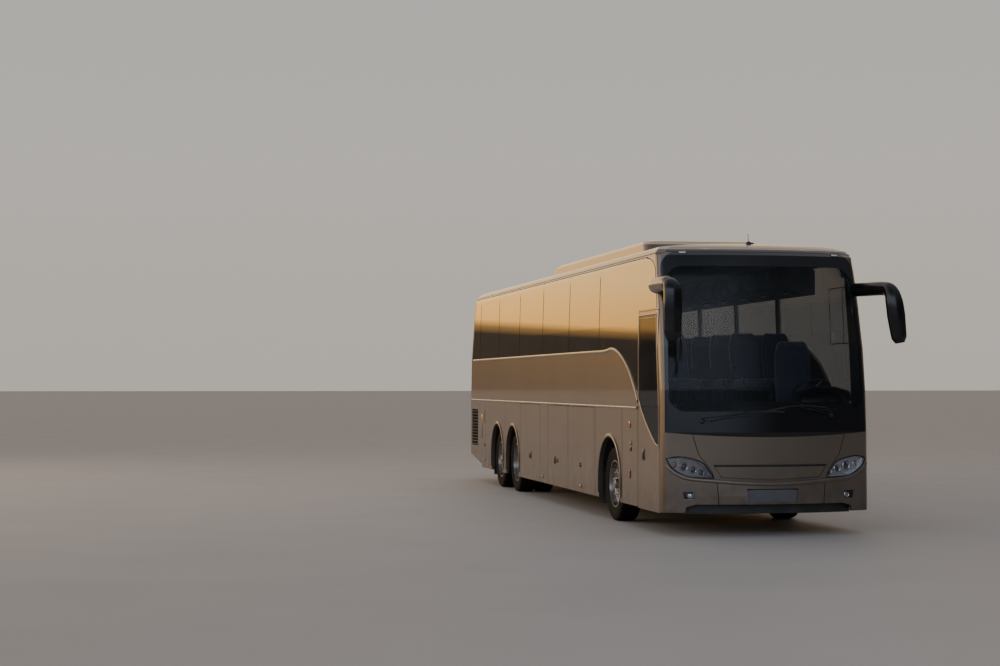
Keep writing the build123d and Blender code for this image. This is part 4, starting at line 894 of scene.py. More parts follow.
LEFT_HORN = ((1.186, 0.400, 2.899), (1.250, 0.210, 2.897), (1.345, -0.110, 2.890), (1.370, -0.235, 2.848),
             (1.383, -0.295, 2.730), (1.402, -0.305, 2.560), (1.432, -0.305, 2.330), (1.446, -0.310, 2.246))
LEFT_SIZES = ((0, 0.165, 0.150), (0.30, 0.165, 0.152), (0.43, 0.165, 0.175), (0.57, 0.150, 0.210),
              (0.71, 0.150, 0.222), (0.88, 0.136, 0.182), (1, 0.075, 0.110))
GLASS_TABLE = (
    # x, station, lowest z, highest z, width, lean in x
    (-1.297, -0.232, 2.56, 2.80, 0.160, 0.0), (-1.297, -0.232, 2.34, 2.53, 0.160, 0.0),
    (-1.222, -0.291, 2.08, 2.22, 0.042, 0.0), (1.387, -0.232, 2.54, 2.76, 0.155, -0.12),
    (1.424, -0.238, 2.33, 2.51, 0.130, -0.12),
)


def shell(path, rows, up):
    """A 24-sided section of changing size carried along a smooth path."""
    line = curve_through([(x, station(s), z) for x, s, z in path], 6)
    sizes = []
    for k in range(len(line)):
        share = k / (len(line) - 1)
        (start, *low), (end, *high) = next(pair for pair in zip(rows, rows[1:]) if share <= pair[1][0] + 1e-9)
        sizes.append(blend(low, high, (share - start) / (end - start)))
    return swept(line, sizes, 24, up=up)


settle("mirror_elbow_right", shell(ELBOW, ELBOW_SIZES, (0, 0, 1)), "body_paint", "champagne_paint", sharp=50)
shells = bmesh.new()
stamp(shells, shell(RIGHT_HEAD, RIGHT_SIZES, (1, 0, 0)))
stamp(shells, shell(KERB_TAIL, KERB_SIZES, (0, 1, 0)))
stamp(shells, shell(LEFT_HORN, LEFT_SIZES, (1, 0, 0)))
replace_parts(settle("mirror_shells", shells, "housing_black", "gloss_black", sharp=50), "mirrors")
glasses = bmesh.new()
for x, s, low, high, width, lean in GLASS_TABLE:
    pane = rounded_block((width, 0.012, high - low), 0.005, 2)
    stamp(glasses, pane, at(x, station(s), (low + high) / 2) @ spun(lean, "Y"))
settle("mirror_glasses", glasses, "lamp_bowl", "bright_steel")

# %% [markdown]
# Seals, mouldings and shut lines all lie on a skin that curves both ways. One helper serves for all: it takes
# a row of places on the front or the flank, finds each on the skin and carries a small section along them.

# %% Lines laid on the skin
THROUGH_GAP = 1.5


def laid(shape, points, size, sides=6, out=0.0, per_span=4, finder=on_front, look=None):
    """Adds a bar along (across, height) places of the skin, this far out of it."""
    line, facing = [], Vector()
    for spot in curve_through([(a, 0, z) for a, z in points], per_span):
        point, normal = finder(spot.x, spot.z)
        # a ray that slips through an open gap lands far behind it, and is left out
        if not line or (point - line[-1]).length <= THROUGH_GAP:
            line.append(point + normal * out)
            facing += normal
    stamp(shape, swept(line, size, sides, up=facing.normalized()), look=look)


def cornered(shape, points, *how):
    """Lays each straight run between two places as a bar of its own, so that the corners stay sharp."""
    for first, last in zip(points, points[1:]):
        laid(shape, [first, blend(first, last, 0.5), last], *how)


def mirrored(points):
    """The same row of places on the coach's other side."""
    return [(-x, z) for x, z in points]


# %% [markdown]
# The bumper's upper edge is rolled over and shows as a bright line that runs under the lamps and dips in the
# middle. Each lamp sits in a thin black seal of the same outline as its opening.

# %% Bumper edge and lamp seals
BUMPER_EDGE = [(-1.232, 0.836), (-1.150, 0.747), (-0.985, 0.671), (-0.640, 0.637), (-0.320, 0.614), (0.0, 0.603)]
LAMP_EDGE = [(-1.226, 0.903), (-1.060, 0.922), (-0.838, 0.866), (-0.738, 0.758), (-0.690, 0.678)]
LAMP_FOOT = [(-1.226, 0.897), (-1.150, 0.781), (-1.010, 0.701), (-0.860, 0.679), (-0.690, 0.675)]
PLATE_EDGE = [(-0.312, 0.543), (0.0, 0.543), (0.312, 0.543)]
edges = bmesh.new()
laid(edges, BUMPER_EDGE + mirrored(BUMPER_EDGE[:-1][::-1]), (0.044, 0.024), 12, 0.001)
settle("bumper_edge_moulding", edges, "body_paint", "champagne_paint", sharp=50)
seals = bmesh.new()
for points in (LAMP_EDGE, LAMP_FOOT):
    laid(seals, points, (0.014, 0.007), 6, 0.001)
    laid(seals, mirrored(points), (0.014, 0.007), 6, 0.001)
laid(seals, PLATE_EDGE, (0.012, 0.006))
settle("lamp_and_plate_seals", seals, "dark_trim", "seal_rubber", sharp=50)

# %% [markdown]
# Between the headlamps the flap carries a shallow panel in a pressed pocket, and the gap over the panel is dark:
# a black sheet on the pocket's floor is painted shade there. Panel and black sheet are drawn over the pocket:
# rays give the pocket's floor, and each sheet is lifted off it and given its thickness. The black band over the
# screen and the blank plate are made in the same way.

# %% Front panel in its slot, band over the screen, plate panel
# rows as (height, half width) from the top down
SLOT_FLOOR = ((0.827, 0.690), (0.780, 0.662), (0.730, 0.630), (0.682, 0.596))
SLOT_PANEL = ((0.804, 0.672), (0.765, 0.650), (0.730, 0.628), (0.686, 0.592))
PLATE_ROWS = ((0.540, 0.303), (0.500, 0.300), (0.440, 0.293), (0.392, 0.288))
SCREEN_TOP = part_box("windscreen")[1].z
TOP_BAND = ((SCREEN_TOP + 0.052, 0.960), (SCREEN_TOP + 0.046, 1.010), (SCREEN_TOP + 0.030, 1.060),
            (SCREEN_TOP + 0.008, 1.090), (SCREEN_TOP - 0.020, 1.105))
SHEET_COLUMNS = 24


def fitted_sheet(rows, lift, thick, dip=0.0):
    """A curved sheet over a patch of the front; its lowest row may dip in the middle."""
    shape = bmesh.new()
    grid = []
    for z, half in rows:
        line = []
        for k in range(SHEET_COLUMNS + 1):
            across = 2 * k / SHEET_COLUMNS - 1
            drop = dip * (1 - abs(across)) if z == rows[-1][0] else 0.0
            point, _ = on_front(half * across, z - drop)
            line.append(shape.verts.new(point - Vector((0, lift, 0))))
        grid.append(line)
    for high, low in zip(grid, grid[1:]):
        for a, b, c, d in zip(high, high[1:], low[1:], low):
            shape.faces.new((a, d, c, b))
    shape.normal_update()
    if sum(f.normal.y for f in shape.faces) > 0:
        bmesh.ops.reverse_faces(shape, faces=shape.faces)
    bmesh.ops.solidify(shape, geom=shape.faces, thickness=thick)
    bmesh.ops.recalc_face_normals(shape, faces=shape.faces)
    return shape


# the black sheet on the pocket's floor is painted shade in the gap over the panel
settle("front_slot_shade_sheet", fitted_sheet(SLOT_FLOOR, 0.004, 0.002, 0.030), "dark_trim", "black_trim")
settle("front_slot_panel", fitted_sheet(SLOT_PANEL, 0.019, 0.004, 0.030), "body_paint", "champagne_paint")
settle("screen_top_band", fitted_sheet(TOP_BAND, 0.004, 0.002), "dark_trim", "gloss_black")
settle("front_plate_panel", fitted_sheet(PLATE_ROWS, 0.004, 0.002), "dark_trim", "plate_grey")

# %% [markdown]
# Fog lamps sit in the bumper's corners: a black pocket plate, and in it a lamp with a bright ring and a clear
# glass. Under the bumper hangs a black apron that hides the underframe and is also painted shade for the dark
# under the bumper.

# %% Fog lamps and chin apron
POCKET_AT = (0.980, 0.473)
FOG_AT = (0.958, 0.468)
CHIN_HALF = 1.03
CHIN_Z = 0.318
CHIN_BACK = 0.110
fogs = bmesh.new()
pocket = rounded_block((0.124, 0.086, 0.010), 0.004, 2)
ring = turned(((0.027, 0.0), (0.036, 0.0), (0.036, 0.010), (0.032, 0.013), (0.027, 0.008)), 24, True)
glass = turned(((0.0, 0.010), (0.016, 0.009), (0.027, 0.004), (0.027, 0.0), (0.0, 0.0)), 24)
for side, _ in SIDES:
    pocket_point, _ = on_front(side * POCKET_AT[0], POCKET_AT[1])
    stamp(fogs, pocket, seated((pocket_point, Vector((side * 0.22, -1, 0)).normalized())), 2)
    lamp_point = on_front(side * FOG_AT[0], FOG_AT[1])[0] + Vector((0, -0.004, 0))
    spot = seated((lamp_point, Vector((side * 0.30, -1, 0)).normalized()))
    stamp(fogs, ring, spot, 0)
    stamp(fogs, glass, spot, 1)
settle("fog_lamps", fogs, "lamp_glass", "bright_steel", "lamp_silver", "black_trim")
chin_line = []
for k in range(25):
    x = CHIN_HALF * (k / 12 - 1)
    chin_line.append((x, on_front(x, 0.400)[0].y + CHIN_BACK, CHIN_Z))
# the black apron also stands in for the shade under the bumper, as painted shade
settle("chin_apron", swept(chin_line, (0.014, 0.120), 4), "dark_trim", "black_trim")

# %% [markdown]
# The passenger door's glass has a bright frame round it, and the flank has its sealant lines: along the top of
# the glass band, round its front corner, and round the driver's sliding window on the other side. Behind each
# upright shut line a thin black rubber strip closes the gap between two doors, and its black is also painted
# shade in the gap.

# %% Door frame and glass lines
DOOR_FRAME = [(1.252, 1.590), (1.252, 2.600), (0.492, 2.600), (0.363, 1.500), (0.363, 1.045)]
DOOR_SWEEP = [(0.363, 1.045), (0.525, 1.070), (0.830, 1.243), (1.099, 1.431), (1.230, 1.560)]
DOOR_RAIL = [(1.225, 1.500), (0.800, 1.500), (0.385, 1.500)]
DOOR_HEAD = [(1.215, 2.560), (0.860, 2.560), (0.515, 2.560)]
GLASS_LINE = [(12.72, 3.299), (9.0, 3.299), (5.0, 3.299), (1.30, 3.299), (1.05, 3.291), (0.865, 3.272),
              (0.725, 3.236), (0.650, 3.188), (0.612, 3.130), (0.560, 2.930), (0.492, 2.668)]
DRIVER_WINDOW = [(1.440, 2.270), (1.440, 2.960), (0.640, 2.960), (0.560, 2.270), (1.440, 2.270)]
DRIVER_SASH = [(1.000, 2.270), (1.000, 2.600), (1.000, 2.960)]
STRIP_HEIGHTS = (0.30, 0.60, 0.90, 1.20, 1.435)
STRIP_SUNK = 0.006
# a ray would go through an open gap, so it lands this far behind, and the strip is moved forward again
RAY_BEHIND = 0.03

door_lines = bmesh.new()
cornered(door_lines, DOOR_FRAME, (0.020, 0.012), 8, 0.001, 3, on_right, 0)
laid(door_lines, DOOR_SWEEP, (0.020, 0.012), 8, 0.001, 3, on_right, 0)
laid(door_lines, DOOR_RAIL, (0.010, 0.006), 6, 0.001, 2, on_right, 1)
laid(door_lines, DOOR_HEAD, (0.010, 0.006), 6, 0.001, 2, on_right, 0)
settle("front_door_lines", door_lines, "body_paint", "champagne_paint", "seal_rubber", body="front_door")
lines = bmesh.new()
cornered(lines, DRIVER_WINDOW, (0.012, 0.006), 6, 0.0, 2, on_left)
laid(lines, DRIVER_SASH, (0.014, 0.006), 6, 0.0, 3, on_left)
for finder in (on_right, on_left):
    laid(lines, GLASS_LINE, (0.012, 0.006), finder=finder)
    # black strips behind the shut lines: they also put painted shade in the gaps
    for s in GAP_STATIONS[1:]:
        spine = []
        for z in STRIP_HEIGHTS:
            point, normal = finder(s + RAY_BEHIND, z)
            spine.append(point - normal * STRIP_SUNK - Vector((0, RAY_BEHIND, 0)))
        stamp(lines, swept(spine, (0.004, 0.006), 4, up=(1, 0, 0)))
settle("glass_and_door_gap_seals", lines, "dark_trim", "seal_rubber")

# %% [markdown]
# Two wipers park along the foot of the screen. Each has a spindle boss, a twin-bar arm and a long blade that
# follows the bowed glass, so the blade's path is found by rays at the windscreen.

# %% Wipers
screen_skin = skin_of("windscreen")
WIPER_TABLE = (
    # spindle (x, z), where the arm takes the blade (x, z), blade's two ends (x, z)
    ((-0.82, 1.335), (-0.250, 1.400), (-0.716, 1.330), (0.150, 1.440)),
    ((0.755, 1.400), (0.236, 1.530), (0.700, 1.490), (-0.109, 1.435)),
)
ARM_SIZES = [(0.016, 0.012), (0.014, 0.011), (0.012, 0.010), (0.011, 0.009), (0.010, 0.008)]
BLADE_BOW = 0.05


def on_screen(x, z, off):
    """A place this far in front of the windscreen."""
    point, normal = landed((x, NOSE - 2, z), (0, 1, 0), screen_skin)
    return point + normal * off


wipers = bmesh.new()
boss = turned(((0.0, 0.0), (0.030, 0.0), (0.028, 0.020), (0.016, 0.034), (0.0, 0.036)), 20)
for spindle, grip, start, end in WIPER_TABLE:
    stamp(wipers, boss, seated((on_screen(*spindle, 0.0), Vector((0, -1, 0.05)).normalized())))
    for drop in (0.0, 0.035):
        arm = []
        for t in (0, 0.25, 0.5, 0.75, 1):
            x, z = blend(spindle, grip, t)
            arm.append(on_screen(x, z + drop, 0.030 + 0.012 * sin(pi * t)))
        stamp(wipers, swept(arm, ARM_SIZES))
    for off, size in ((0.018, (0.018, 0.010)), (0.006, (0.006, 0.012))):
        blade = []
        for k in range(13):
            x, z = blend(start, end, k / 12)
            blade.append(on_screen(x, z + BLADE_BOW * sin(pi * k / 12), off))
        stamp(wipers, swept(blade, size, 4, up=(0, -1, 0)))
piece = settle("wiper_blades", wipers, "dark_trim", "black_trim")
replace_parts(piece, "wipers")

# %% [markdown]
# Handles and locks. Every luggage door has a paddle in a dark cup near its foot, the passenger door has a
# taller one, and the engine door has two. They ride on their doors, so that they open with them.

# %% Door and luggage handles
HANDLE_TABLE = ((1, 4.235, 0.645), (2, 5.930, 0.649), (3, 7.668, 0.655))


def paddle_handle(name, spots, width, height, body):
    """A piece with a paddle in a dark cup and a bright lock at each spot."""
    shape = bmesh.new()
    for spot in spots:
        stamp(shape, rounded_block((width, height, 0.010), 0.004, 2), spot @ at(0, 0, 0.001), 0)
        stamp(shape, rounded_block((width * 0.78, height * 0.82, 0.006), 0.002, 1), spot @ at(0, 0, 0.006), 1)
        paddle = rounded_block((width * 0.52, height * 0.55, 0.010), 0.004, 2)
        stamp(shape, paddle, spot @ at(0, -height * 0.06, 0.010), 0)
        lock = button(width * 0.16, width * 0.15, 0.006, 0.007, 16)
        stamp(shape, lock, spot @ at(0, height * 0.34, 0.008), 2)
    settle(name, shape, "dark_trim", "black_trim", "gloss_black", "bright_steel", body=body)


for side, name in SIDES:
    for k, s, z in HANDLE_TABLE:
        paddle_handle(f"luggage_handle_{name}_{k}", [seated(on_side(side, s, z))], 0.075, 0.120,
                      f"luggage_door_{name}_{k}")
paddle_handle("front_door_handle", [seated(on_right(1.035, 0.920))], 0.105, 0.140, "front_door")
paddle_handle("engine_door_locks", [seated(on_rear(x, 0.760)) @ at(0, 0, -0.004) for x in (-0.42, 0.42)],
              0.085, 0.120, "engine_door")

# %% [markdown]
# The long side glass is really six panes bonded edge to edge. The joints show as thin dark upright lines: flat
# strips that follow the lean of the side. Lower down, a bright strip is let into the rub rail along each flank.

# %% Pane joints and rub rail inserts
PANE_JOINTS = (3.27, 5.05, 6.83, 8.61, 10.39, 12.17)
BELT_Z = 2.225
GLASS_TOP = 3.292
RAIL_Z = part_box("skirt_panels_right")[1].z + 0.017
RAIL_ENDS = (1.32, 12.95)
joints = bmesh.new()
rails = bmesh.new()
for side, _ in SIDES:
    for s in PANE_JOINTS:
        line = [on_side(side, s, BELT_Z + (GLASS_TOP - BELT_Z) * k / 8)[0] for k in range(9)]
        stamp(joints, swept(line, (0.014, 0.004), 4, up=(side, 0, 0)))
    stops = [RAIL_ENDS[0] + (RAIL_ENDS[1] - RAIL_ENDS[0]) * k / 24 for k in range(25)]
    stamp(rails, swept([on_side(side, s, RAIL_Z)[0] for s in stops], (0.012, 0.020)))
settle("pane_joints", joints, "dark_trim", "seal_rubber", sharp=30)
settle("rub_rail_inserts", rails, "rim", "bright_steel", sharp=30)

# %% [markdown]
# The belt moulding ends the painted side: it runs level under the glass, lifts a little and sweeps down to the
# door. Each wheel arch has a rolled lip of the same kind. They could be cut from the panels, but a half-round bar
# laid over the pressed edge catches the light in one clean line, as the real one does.

# %% Belt and arch mouldings
BELT_LINE = ((12.82, 2.194), (8.0, 2.194), (4.2, 2.194), (2.970, 2.194), (2.551, 2.216), (2.145, 2.141),
             (1.752, 1.959), (1.468, 1.736), (1.296, 1.562))
BELT_DOWN = ((1.099, 1.409), (0.830, 1.222), (0.525, 1.047), (0.375, 0.982))
HALF_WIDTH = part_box("skirt_panels_left")[1].x - 0.012
ARCH_FOOT_Z = 0.338
ARCH_TABLE = (
    # station of the axle, radius of the opening, height of its centre
    (2.700, 0.560, 0.525), (9.130, 0.520, 0.560), (10.470, 0.520, 0.560),
)
mouldings = bmesh.new()
for side, _ in SIDES:
    rows = BELT_LINE if side < 0 else BELT_LINE + BELT_DOWN
    smooth = curve_through([(0, s, z) for s, z in rows], 5)
    line = [on_side(side, p.y, p.z)[0] - Vector((side * 0.004, 0, 0)) for p in smooth]
    stamp(mouldings, swept(line, (0.044, 0.020), 12, up=(side, 0, 0)))
    for axle, radius, height in ARCH_TABLE:
        mid = radius + 0.022
        turns = [pi * k / 28 for k in range(29)]
        arc = [(axle - mid * cos(turn), height + mid * sin(turn)) for turn in turns]
        arc = [(axle - mid, ARCH_FOOT_Z), *arc, (axle + mid, ARCH_FOOT_Z)]
        path = [(side * (HALF_WIDTH + 0.003), station(s), z) for s, z in arc]
        stamp(mouldings, swept(path, (0.045, 0.026), 12, up=(side, 0, 0)))
settle("belt_and_arch_mouldings", mouldings, "body_paint", "champagne_paint")

# %% [markdown]
# At the back, each lamp cluster is a dark bezel with round units for brake, turn, fog and reversing light, as a
# turned lens in a bright ring. A reflector sits below, and a high brake lamp over the glass.

# %% Rear lamps
CLUSTER_X = 0.965
CLUSTER_TABLE = (
    # height, radius, lens
    (1.215, 0.058, "red_lens"), (1.080, 0.058, "amber_lens"), (0.955, 0.046, "white_lens"),
    (0.845, 0.046, "red_lens"),
)
REAR_LOOKS = (*LENSES, "bright_steel")
clusters = bmesh.new()
bezel = rounded_block((0.300, 0.520, 0.020), 0.009, 3)
for side, _ in SIDES:
    point, normal = on_rear(side * CLUSTER_X, 1.030)
    stamp(clusters, bezel, seated((point - normal * 0.004, normal)), REAR_LOOKS.index("gloss_black"))
    for z, radius, look in CLUSTER_TABLE:
        point, normal = on_rear(side * CLUSTER_X, z)
        spot = seated((point + normal * 0.005, normal))
        ring = turned(((radius * 0.9, 0.0), (radius * 1.12, 0.0), (radius * 1.08, 0.008), (radius * 0.9, 0.006)),
                      28, True)
        lens = turned(((0.0, 0.013), (radius * 0.5, 0.011), (radius * 0.85, 0.006), (radius * 0.9, 0.0),
                       (0.0, 0.0)), 28)
        stamp(clusters, ring, spot, REAR_LOOKS.index("bright_steel"))
        stamp(clusters, lens, spot, REAR_LOOKS.index(look))
    add_lamp(clusters, on_rear(side * 1.02, 0.72), 0.110, 0.040, "red_lens")
add_lamp(clusters, on_rear(0.0, 3.185), 0.420, 0.026, "red_lens")
settle("rear_lamps", clusters, "lamp_red", *REAR_LOOKS)

# %% [markdown]
# The rear plate stands on a thin black holder, and a plain tail pipe with a flat hanger comes out beside the
# engine. Along the flanks there are small flaps: fuel and filler doors, seen as thin shut lines with a lock.
# They stay shut in use, so a flat door on a slightly larger seal is enough.

# %% Rear plate holder, tail pipe and flank flaps
PIPE_X = -0.700
FLAP_TABLE = (
    # side, station, height, width, height of the door
    (1, 3.05, 1.230, 0.420, 0.300), (-1, 12.02, 1.020, 0.300, 0.420), (1, 12.02, 1.020, 0.300, 0.420),
)
plate = bmesh.new()
plate_spot = seated(on_rear(0.0, 0.540)) @ at(0, 0, -0.006)
stamp(plate, rounded_block((0.540, 0.130, 0.012), 0.005, 2), plate_spot @ at(0, 0, 0.004), 0)
stamp(plate, rounded_block((0.516, 0.106, 0.010), 0.003, 1), plate_spot @ at(0, 0, 0.007), 1)
settle("rear_plate_holder", plate, "dark_trim", "black_trim", "plate_grey")
tail_pipe = bmesh.new()
pipe = turned(((0.052, 0.0), (0.056, 0.0), (0.058, 0.260), (0.060, 0.300), (0.056, 0.300), (0.052, 0.260)),
              24, True)
hanger_y = station(12.90)
stamp(tail_pipe, pipe, at(PIPE_X, station(12.78), 0.400) @ spun(-pi / 2, "X"))
stamp(tail_pipe, swept([(PIPE_X, hanger_y, 0.452), (PIPE_X, hanger_y, 0.520), (PIPE_X + 0.060, hanger_y, 0.600)],
                       (0.030, 0.010)))
settle("tail_pipe", tail_pipe, "axle_iron", "satin_alloy")
flaps = bmesh.new()
# the upright slot behind the last wheel arch is a bare strip of rubber
stamp(flaps, rounded_block((0.030, 0.230, 0.006), 0.002, 1), seated(on_right(11.675, 1.180)), 1)
for side, s, z, width, height in FLAP_TABLE:
    spot = seated(on_side(side, s, z))
    stamp(flaps, rounded_block((width, height, 0.003), 0.001, 1), spot, 1)
    stamp(flaps, rounded_block((width - 0.012, height - 0.012, 0.007), 0.003, 2), spot, 0)
    stamp(flaps, button(0.013, 0.012, 0.006, 0.007, 16), spot @ at(width * 0.36, 0, 0.003), 2)
settle("flank_flaps", flaps, "body_paint", "champagne_paint", "seal_rubber", "bright_steel")

# %% [markdown]
# On the roof stand the cooling unit's fans, two hatches and a short mast. None of it is tall, but from above it
# is what tells a coach from a box. The fans are let into the unit: their guards stand only 3 mm above its top.

# %% Roof fittings
FAN_STATIONS = (3.55, 4.55, 5.95, 6.95)
HATCH_STATIONS = (9.20, 11.20)
FAN_SUNK = 0.009
MOTOR_R = 0.075
HOOP_PITCH = 0.036
GUARD_Z = 0.009
roof_black = bmesh.new()
roof_paint = bmesh.new()
fan = bmesh.new()
stamp(fan, turned(((0.250, 0.0), (0.275, 0.0), (0.270, 0.012), (0.250, 0.012)), 36, True))
stamp(fan, button(MOTOR_R, 0.070, 0.010, 0.012, 20))
for k in range(1, 5):
    stamp(fan, swept(circle(MOTOR_R + HOOP_PITCH * k, 28, GUARD_Z), (0.006, 0.006), 4, ring=True))
for k in range(6):
    stamp(fan, rounded_block((0.190, 0.008, 0.006), 0), spun(pi * k / 3, "Z") @ at(0.165, 0, GUARD_Z))
for s in FAN_STATIONS:
    for x in (-0.36, 0.36):
        stamp(roof_black, fan, at(x, station(s), on_roof(x, s)[0].z - FAN_SUNK))
for s in HATCH_STATIONS:
    top = on_roof(0.0, s)[0].z
    # a black curb, and a painted lid on it
    stamp(roof_black, rounded_block((0.860, 0.860, 0.040), 0.012, 2), at(0, station(s), top + 0.010))
    stamp(roof_paint, rounded_block((0.780, 0.780, 0.060), 0.025, 3), at(0, station(s), top + 0.045))
mast_foot, _ = on_roof(0.03, 0.950)
mast_base = turned(((0.0, 0.0), (0.032, 0.0), (0.030, 0.020), (0.012, 0.032), (0.0, 0.034)), 20)
stamp(roof_black, mast_base, at(*mast_foot))
stamp(roof_black, swept([mast_foot + Vector((0, 0, 0.025)), mast_foot + Vector((0, 0.018, 0.128))],
                        (0.007, 0.007)))
for x, s in ((0.075, 1.02), (-0.52, 1.30)):
    stamp(roof_black, button(0.045, 0.042, 0.022, 0.028, 20), at(*on_roof(x, s)[0]))
settle("roof_hatch_lids", roof_paint, "body_paint", "champagne_paint")
settle("roof_fans_and_mast", roof_black, "dark_trim", "black_trim")
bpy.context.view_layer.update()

# %% [markdown]
# The passenger seats. A real one is foam under stretched moquette, so each pad starts as a rounded block that is
# remeshed finely and drawn to the seat's outline, and swells in a short cloth simulation. The sewn channels are
# pressed in afterwards.

# %% Padding helpers
SEAM_HALF = 0.016
SEAM_DEEP = 0.007
VOXEL = 0.014
SWELL_MOST = 0.012
SWELL_FRAMES = 16
FACES_KEPT = 0.30


def evaluated(piece):
    """The mesh of a scratch object with its modifiers worked out."""
    graph = bpy.context.evaluated_depsgraph_get()
    return bpy.data.meshes.new_from_object(piece.evaluated_get(graph))


def swollen(shape, outline):
    """Remeshes a shape, draws it to an outline, swells it as cloth, and returns it lighter as a bmesh."""
    mesh = bpy.data.meshes.new("pad")
    shape.to_mesh(mesh)
    pad = linked("pad", mesh)
    even = pad.modifiers.new("even", "REMESH")
    even.mode = "VOXEL"
    even.voxel_size = VOXEL
    pad.data = evaluated(pad)
    pad.modifiers.clear()
    for vert in pad.data.vertices:
        vert.co = outline(*vert.co)
    start = [v.co.copy() for v in pad.data.vertices]
    cloth = pad.modifiers.new("swell", "CLOTH")
    cloth.settings.quality = 4
    cloth.settings.use_pressure = True
    cloth.settings.uniform_pressure_force = 4
    cloth.settings.effector_weights.gravity = 0
    cloth.point_cache.frame_end = SWELL_FRAMES
    for frame_number in range(1, SWELL_FRAMES + 1):
        bpy.context.scene.frame_set(frame_number)
    pad.data = evaluated(pad)
    pad.modifiers.clear()
    bpy.context.scene.frame_set(1)
    for vert, old in zip(pad.data.vertices, start):
        move = vert.co - old
        if move.length > SWELL_MOST:
            vert.co = old + move.normalized() * SWELL_MOST
    thin = pad.modifiers.new("thin", "DECIMATE")
    thin.ratio = FACES_KEPT
    made = bmesh.new()
    made.from_mesh(evaluated(pad))
    bpy.data.objects.remove(pad)
    return made


def press_seams(shape, seams):
    """Sinks sewn channels; seams gives a point's distances from those that it may lie in."""
    shape.normal_update()
    for vert in shape.verts:
        near = min((abs(distance) for distance in seams(*vert.co)), default=1)
        if near < SEAM_HALF:
            vert.co -= vert.normal * SEAM_DEEP * (1 - (near / SEAM_HALF) ** 2)


def cushion_outline(x, y, z):
    """Crowned, rounded in front, and a little lower in the middle than at its bolsters."""
    on_top = 1 if z > 0 else 0
    crown = 0.018 * (1 - (abs(x) / 0.22) ** 2) * on_top
    bolster = 0.016 * max(0.0, (abs(x) - 0.13) / 0.09) * on_top
    front_drop = 0.030 * max(0.0, (-y - 0.12) / 0.12) ** 2
    return Vector((x * (1 - 0.05 * max(0.0, -y / 0.24)), y, z - front_drop + bolster - crown * 0.3))


def cushion_seams(x, y, z):
    """Along both bolsters, and across between them."""
    return [] if z <= 0 else [abs(x) - 0.125] + [y + 0.13] * (abs(x) < 0.13)


def back_outline(x, y, z):
    """Narrower towards the head, hollow between the bolsters, with a fuller headrest."""
    rise = (z + 0.37) / 0.74
    narrow = 1 - 0.30 * max(0.0, (rise - 0.70) / 0.30) ** 1.5
    head = 0.022 * max(0.0, 1 - abs(rise - 0.86) / 0.13)
    lumbar = 0.016 * max(0.0, 1 - abs(rise - 0.25) / 0.2)
    bolster = 0.024 * max(0.0, (abs(x) - 0.12) / 0.10)
    front = 1 if y < 0 else 0
    return Vector((x * narrow, y - front * (head + lumbar + bolster), z))


def back_seams(x, y, z):
    """Under the headrest, along both bolsters below it, and across between them."""
    return [] if y >= 0 else [z - 0.17] + [abs(x) - 0.118] * (z < 0.17) + [z + 0.05] * (abs(x) < 0.12)


# %% [markdown]
# One seat is made with care from its two pads, leaned back as real ones are, and stamped at forty-eight
# places: twelve rows of two pairs, with the aisle between them.

# %% Passenger seats
SEAT_ROWS = 12
SEAT_FIRST_S = 1.90
SEAT_PITCH = 0.85
SEAT_MIDDLES = (0.482, 0.927)
FLOOR_TOP = 1.40
CUSHION_AT = (0, 0.245, 0.372)
CUSHION_LEAN = -0.06
BACK_AT = (0, 0.592, 0.692)
BACK_LEAN = -0.245

cushion = swollen(rounded_block((0.405, 0.430, 0.100), 0.030, 3), cushion_outline)
press_seams(cushion, cushion_seams)
back = swollen(rounded_block((0.405, 0.075, 0.720), 0.030, 3), back_outline)
press_seams(back, back_seams)
seat = bmesh.new()
stamp(seat, cushion, at(*CUSHION_AT) @ spun(CUSHION_LEAN, "X"))
stamp(seat, back, at(*BACK_AT) @ spun(BACK_LEAN, "X"))
pads = bmesh.new()
for row in range(SEAT_ROWS):
    for side, _ in SIDES:
        for middle in SEAT_MIDDLES:
            stamp(pads, seat, at(side * middle, station(SEAT_FIRST_S + SEAT_PITCH * row), FLOOR_TOP))
pads = settle("passenger_seat_pads", pads, "seat_fabric", "seat_moquette", sharp=60)
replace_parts(pads, "seats")

# %% [markdown]
# A pair of seats stands on one leg with a long foot. Two cross beams carry the cushions, each back has a hard
# shell with a grab bar at its top, and the aisle side has an armrest on a short stay. All are plain blocks with
# rounded edges, because little more than their outline shows between the pads.

# %% Seat frames
PAIR_MIDDLE = 0.705
AISLE_EDGE = 0.258
GRAB_BAR = [(-0.13, 0, 0), (-0.12, 0.03, 0.004), (0, 0.036, 0.006), (0.12, 0.03, 0.004), (0.13, 0, 0)]
pair = {}
for side, _ in SIDES:
    pair[side] = bmesh.new()
    stamp(pair[side], rounded_block((0.050, 0.240, 0.300), 0.008, 1), at(0, 0.24, 0.152))
    stamp(pair[side], rounded_block((0.070, 0.340, 0.014), 0.004, 1), at(0, 0.24, 0.008))
    for run in (0.12, 0.38):
        stamp(pair[side], rounded_block((0.860, 0.040, 0.040), 0.008, 1), at(0, run, 0.300))
    for middle in SEAT_MIDDLES:
        lean = at(side * (middle - PAIR_MIDDLE), 0.642, 0.660) @ spun(BACK_LEAN, "X")
        stamp(pair[side], rounded_block((0.380, 0.022, 0.600), 0.010, 2), lean)
        stamp(pair[side], swept(curve_through(GRAB_BAR, 3), (0.020, 0.020)), lean @ at(0, 0.020, 0.325))
    aisle = side * (AISLE_EDGE - PAIR_MIDDLE)
    stamp(pair[side], rounded_block((0.036, 0.300, 0.034), 0.014, 2), at(aisle, 0.340, 0.585))
    stamp(pair[side], rounded_block((0.022, 0.030, 0.200), 0.006, 1), at(aisle, 0.440, 0.480))
seat_frames = bmesh.new()
